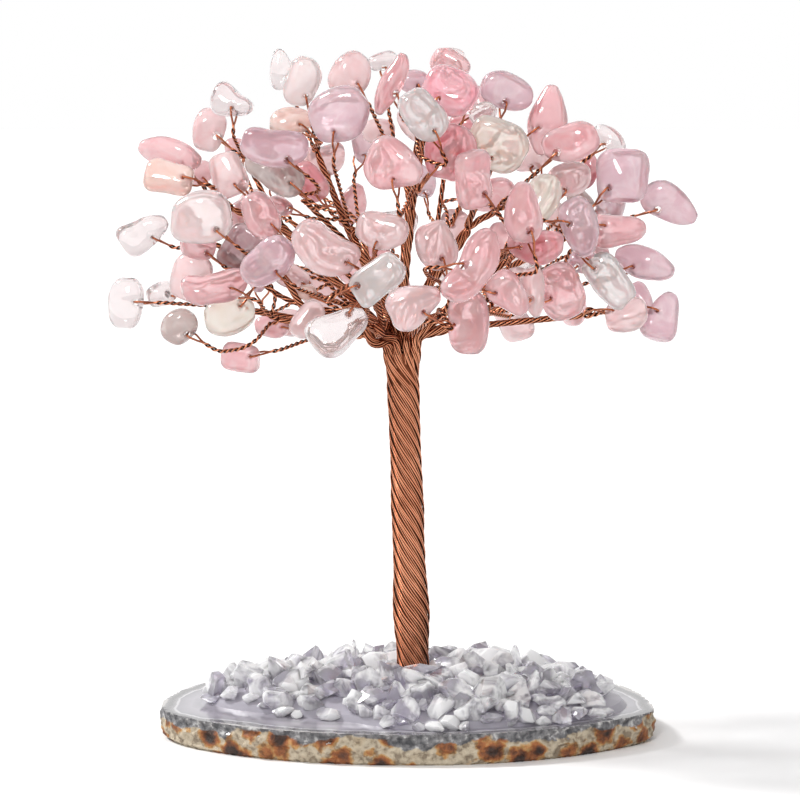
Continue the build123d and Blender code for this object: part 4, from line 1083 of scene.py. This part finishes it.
def agate_material():
    """Polished grey agate, banded along its outline."""
    material, nodes, links, shader = new_material("polished_agate")
    sway = pattern(nodes, links, "ShaderNodeTexNoise", 90, detail=4)
    inset = attribute(nodes, "inset")["Fac"]
    swayed = math_node(nodes, links, "MULTIPLY_ADD", sway.outputs["Fac"], band_sway, inset)
    share = nodes.new("ShaderNodeMapRange")
    share.inputs["From Min"].default_value, share.inputs["From Max"].default_value = band_reach
    links.new(swayed.outputs["Value"], share.inputs["Value"])
    colours = ramp(nodes, links, share.outputs["Result"], [
        (0.0, (0.50, 0.48, 0.46)), (0.03, (0.20, 0.195, 0.20)), (0.10, (0.12, 0.115, 0.12)),
        (0.17, (0.26, 0.25, 0.26)), (0.20, (0.60, 0.59, 0.61)), (0.23, (0.26, 0.25, 0.28)),
        (0.45, (0.36, 0.34, 0.38)), (0.60, (0.28, 0.27, 0.30)), (0.75, (0.38, 0.36, 0.40)),
        (1.0, (0.36, 0.34, 0.38))])
    links.new(colours, shader.inputs["Base Color"])
    set_finish(shader, {"Roughness": 0.12, "Coat Weight": 0.5, "Coat Roughness": 0.04})
    return material


# %% [markdown]
# The rind is earthy and matt: cream, stained with ochre, speckled dark, with round clumps of brown iron
# stone. Cells of a Voronoi texture, frayed by a noise, make the clumps. Near the top the rind is worn off,
# and a narrow band of bare grey stone shows, so that band is taken from the height.

# %% Rind
bare_height = (9.3 * mm, 9.7 * mm)
bare_sway = 9 * mm


def rind_material():
    """Cream rind with round brown clumps, ochre stains and a bare grey band above."""
    material, nodes, links, shader = new_material("nodule_rind")
    orbs = pattern(nodes, links, "ShaderNodeTexVoronoi", 190)
    frayed = pattern(nodes, links, "ShaderNodeTexNoise", 520, detail=6)
    ragged = math_node(nodes, links, "MULTIPLY_ADD", frayed.outputs["Fac"], 0.60, orbs.outputs["Distance"])
    orb_colours = ramp(nodes, links, ragged.outputs["Value"], [
        (0.50, (0.045, 0.018, 0.01)), (0.60, (0.17, 0.055, 0.018)), (0.71, (0.36, 0.12, 0.032)),
        (0.80, (0.50, 0.28, 0.10)), (0.88, (0.55, 0.47, 0.35))])
    stains = pattern(nodes, links, "ShaderNodeTexNoise", 110, detail=5)
    cream = ramp(nodes, links, stains.outputs["Fac"], [
        (0.32, (0.42, 0.20, 0.055)), (0.43, (0.50, 0.36, 0.18)), (0.54, (0.60, 0.54, 0.45)),
        (0.66, (0.34, 0.32, 0.29))])
    where = pattern(nodes, links, "ShaderNodeTexNoise", 60, detail=2)
    cluster = ramp(nodes, links, where.outputs["Fac"], [(0.16, (0, 0, 0)), (0.30, (1, 1, 1))])
    clumped = mixed(nodes, links, cluster, cream, orb_colours)
    height = nodes.new("ShaderNodeSeparateXYZ")
    place = nodes.new("ShaderNodeTexCoord")
    links.new(place.outputs["Object"], height.inputs["Vector"])
    edge = math_node(nodes, links, "MULTIPLY_ADD", stains.outputs["Fac"], bare_sway, height.outputs["Z"])
    bare = nodes.new("ShaderNodeMapRange")
    bare.inputs["From Min"].default_value, bare.inputs["From Max"].default_value = bare_height
    links.new(edge.outputs["Value"], bare.inputs["Value"])
    grain = pattern(nodes, links, "ShaderNodeTexNoise", 700, detail=6)
    stone = ramp(nodes, links, grain.outputs["Fac"], [
        (0.38, (0.06, 0.06, 0.065)), (0.58, (0.22, 0.215, 0.22)), (0.70, (0.62, 0.61, 0.60))])
    speckles = ramp(nodes, links, grain.outputs["Fac"], [
        (0.38, (0.42, 0.38, 0.35)), (0.50, (0.84, 0.82, 0.80)), (0.64, (1, 1, 1))])
    speckled = mixed(nodes, links, 1, clumped, speckles, "MULTIPLY")
    sided = mixed(nodes, links, bare.outputs["Result"], speckled, stone)
    links.new(sided, shader.inputs["Base Color"])
    bump(nodes, links, grain.outputs["Fac"], 1.0, 1.2 * mm, shader)
    set_finish(shader, {"Roughness": 0.55})
    return material


# %% [markdown]
# The top is polished and so is the flat face below, up to a narrow rim. All the other faces are rind.

# %% Finish the slice
sawn_inset = 1.6
level_face = 0.8

finish_piece(slice_piece, tree_body, [agate_material(), rind_material()], ["agate_slice"])
insets = slice_piece.data.attributes["inset"].data
for face in slice_piece.data.polygons:
    sawn = all(insets[k].value > sawn_inset for k in face.vertices)
    face.material_index = int(not (face.normal.z > level_face or sawn))

# %% [markdown]
# The picture is a bright studio shot on white. The floor is white and catches the tree's shadow. The world
# is full white to the camera, and in glass and metal, and dimmer as a lamp, so the background is white
# without more light on the tree.

# %% Floor and world
floor_half = 3.0
world_strength = 0.60
background_strength = 1.0

bpy.ops.object.select_all(action="DESELECT")
bpy.ops.mesh.primitive_plane_add(size=2 * floor_half, location=(0, 0, 0))
floor = bpy.context.object
floor.name = "white_floor"
floor_material, _, _, shader = new_material("white_table")
set_finish(shader, {"Base Color": (0.95, 0.95, 0.95, 1), "Roughness": 0.6, "Specular IOR Level": 0.2})
floor.data.materials.append(floor_material)

world = bpy.data.worlds.new("studio")
scene.world = world
world.use_nodes = True
nodes, links = world.node_tree.nodes, world.node_tree.links
background = nodes["Background"].inputs
background["Color"].default_value = (1, 1, 1, 1)
rays = nodes.new("ShaderNodeLightPath").outputs
direct = math_node(nodes, links, "ADD", rays["Is Camera Ray"], rays["Is Transmission Ray"])
shown = math_node(nodes, links, "ADD", direct.outputs["Value"], rays["Is Glossy Ray"])
shown.use_clamp = True
brighter = background_strength - world_strength
strength = math_node(nodes, links, "MULTIPLY_ADD", shown.outputs["Value"], brighter, world_strength)
links.new(strength.outputs["Value"], background["Strength"])

# %% [markdown]
# The main light comes from the left and above, and is soft, so the shadow falls to the right and is pale. A
# weaker light fills the front. Both are suns, because a sun lights the whole floor evenly.

# %% Lights


def sun(name, place, spread, strength):
    """A far soft light that shines on the tree from a place."""
    data = bpy.data.lights.new(name, "SUN")
    data.angle = math.radians(spread)
    data.energy = strength
    made = bpy.data.objects.new(name, data)
    made.location = place
    made.rotation_euler = (-Vector(place)).to_track_quat("-Z", "Y").to_euler()
    scene.collection.objects.link(made)


sun("key_left", (-0.66, 0.15, 0.72), 9, 2.4)
sun("fill_front", (-0.25, -0.80, 0.55), 14, 1.0)

# %% [markdown]
# The dressed tree has to stay inside the imported model's box, and that box is printed again at the end.

# %% Sizes
print("cad", [round(v / mm, 2) for corner in cad_box for v in corner])
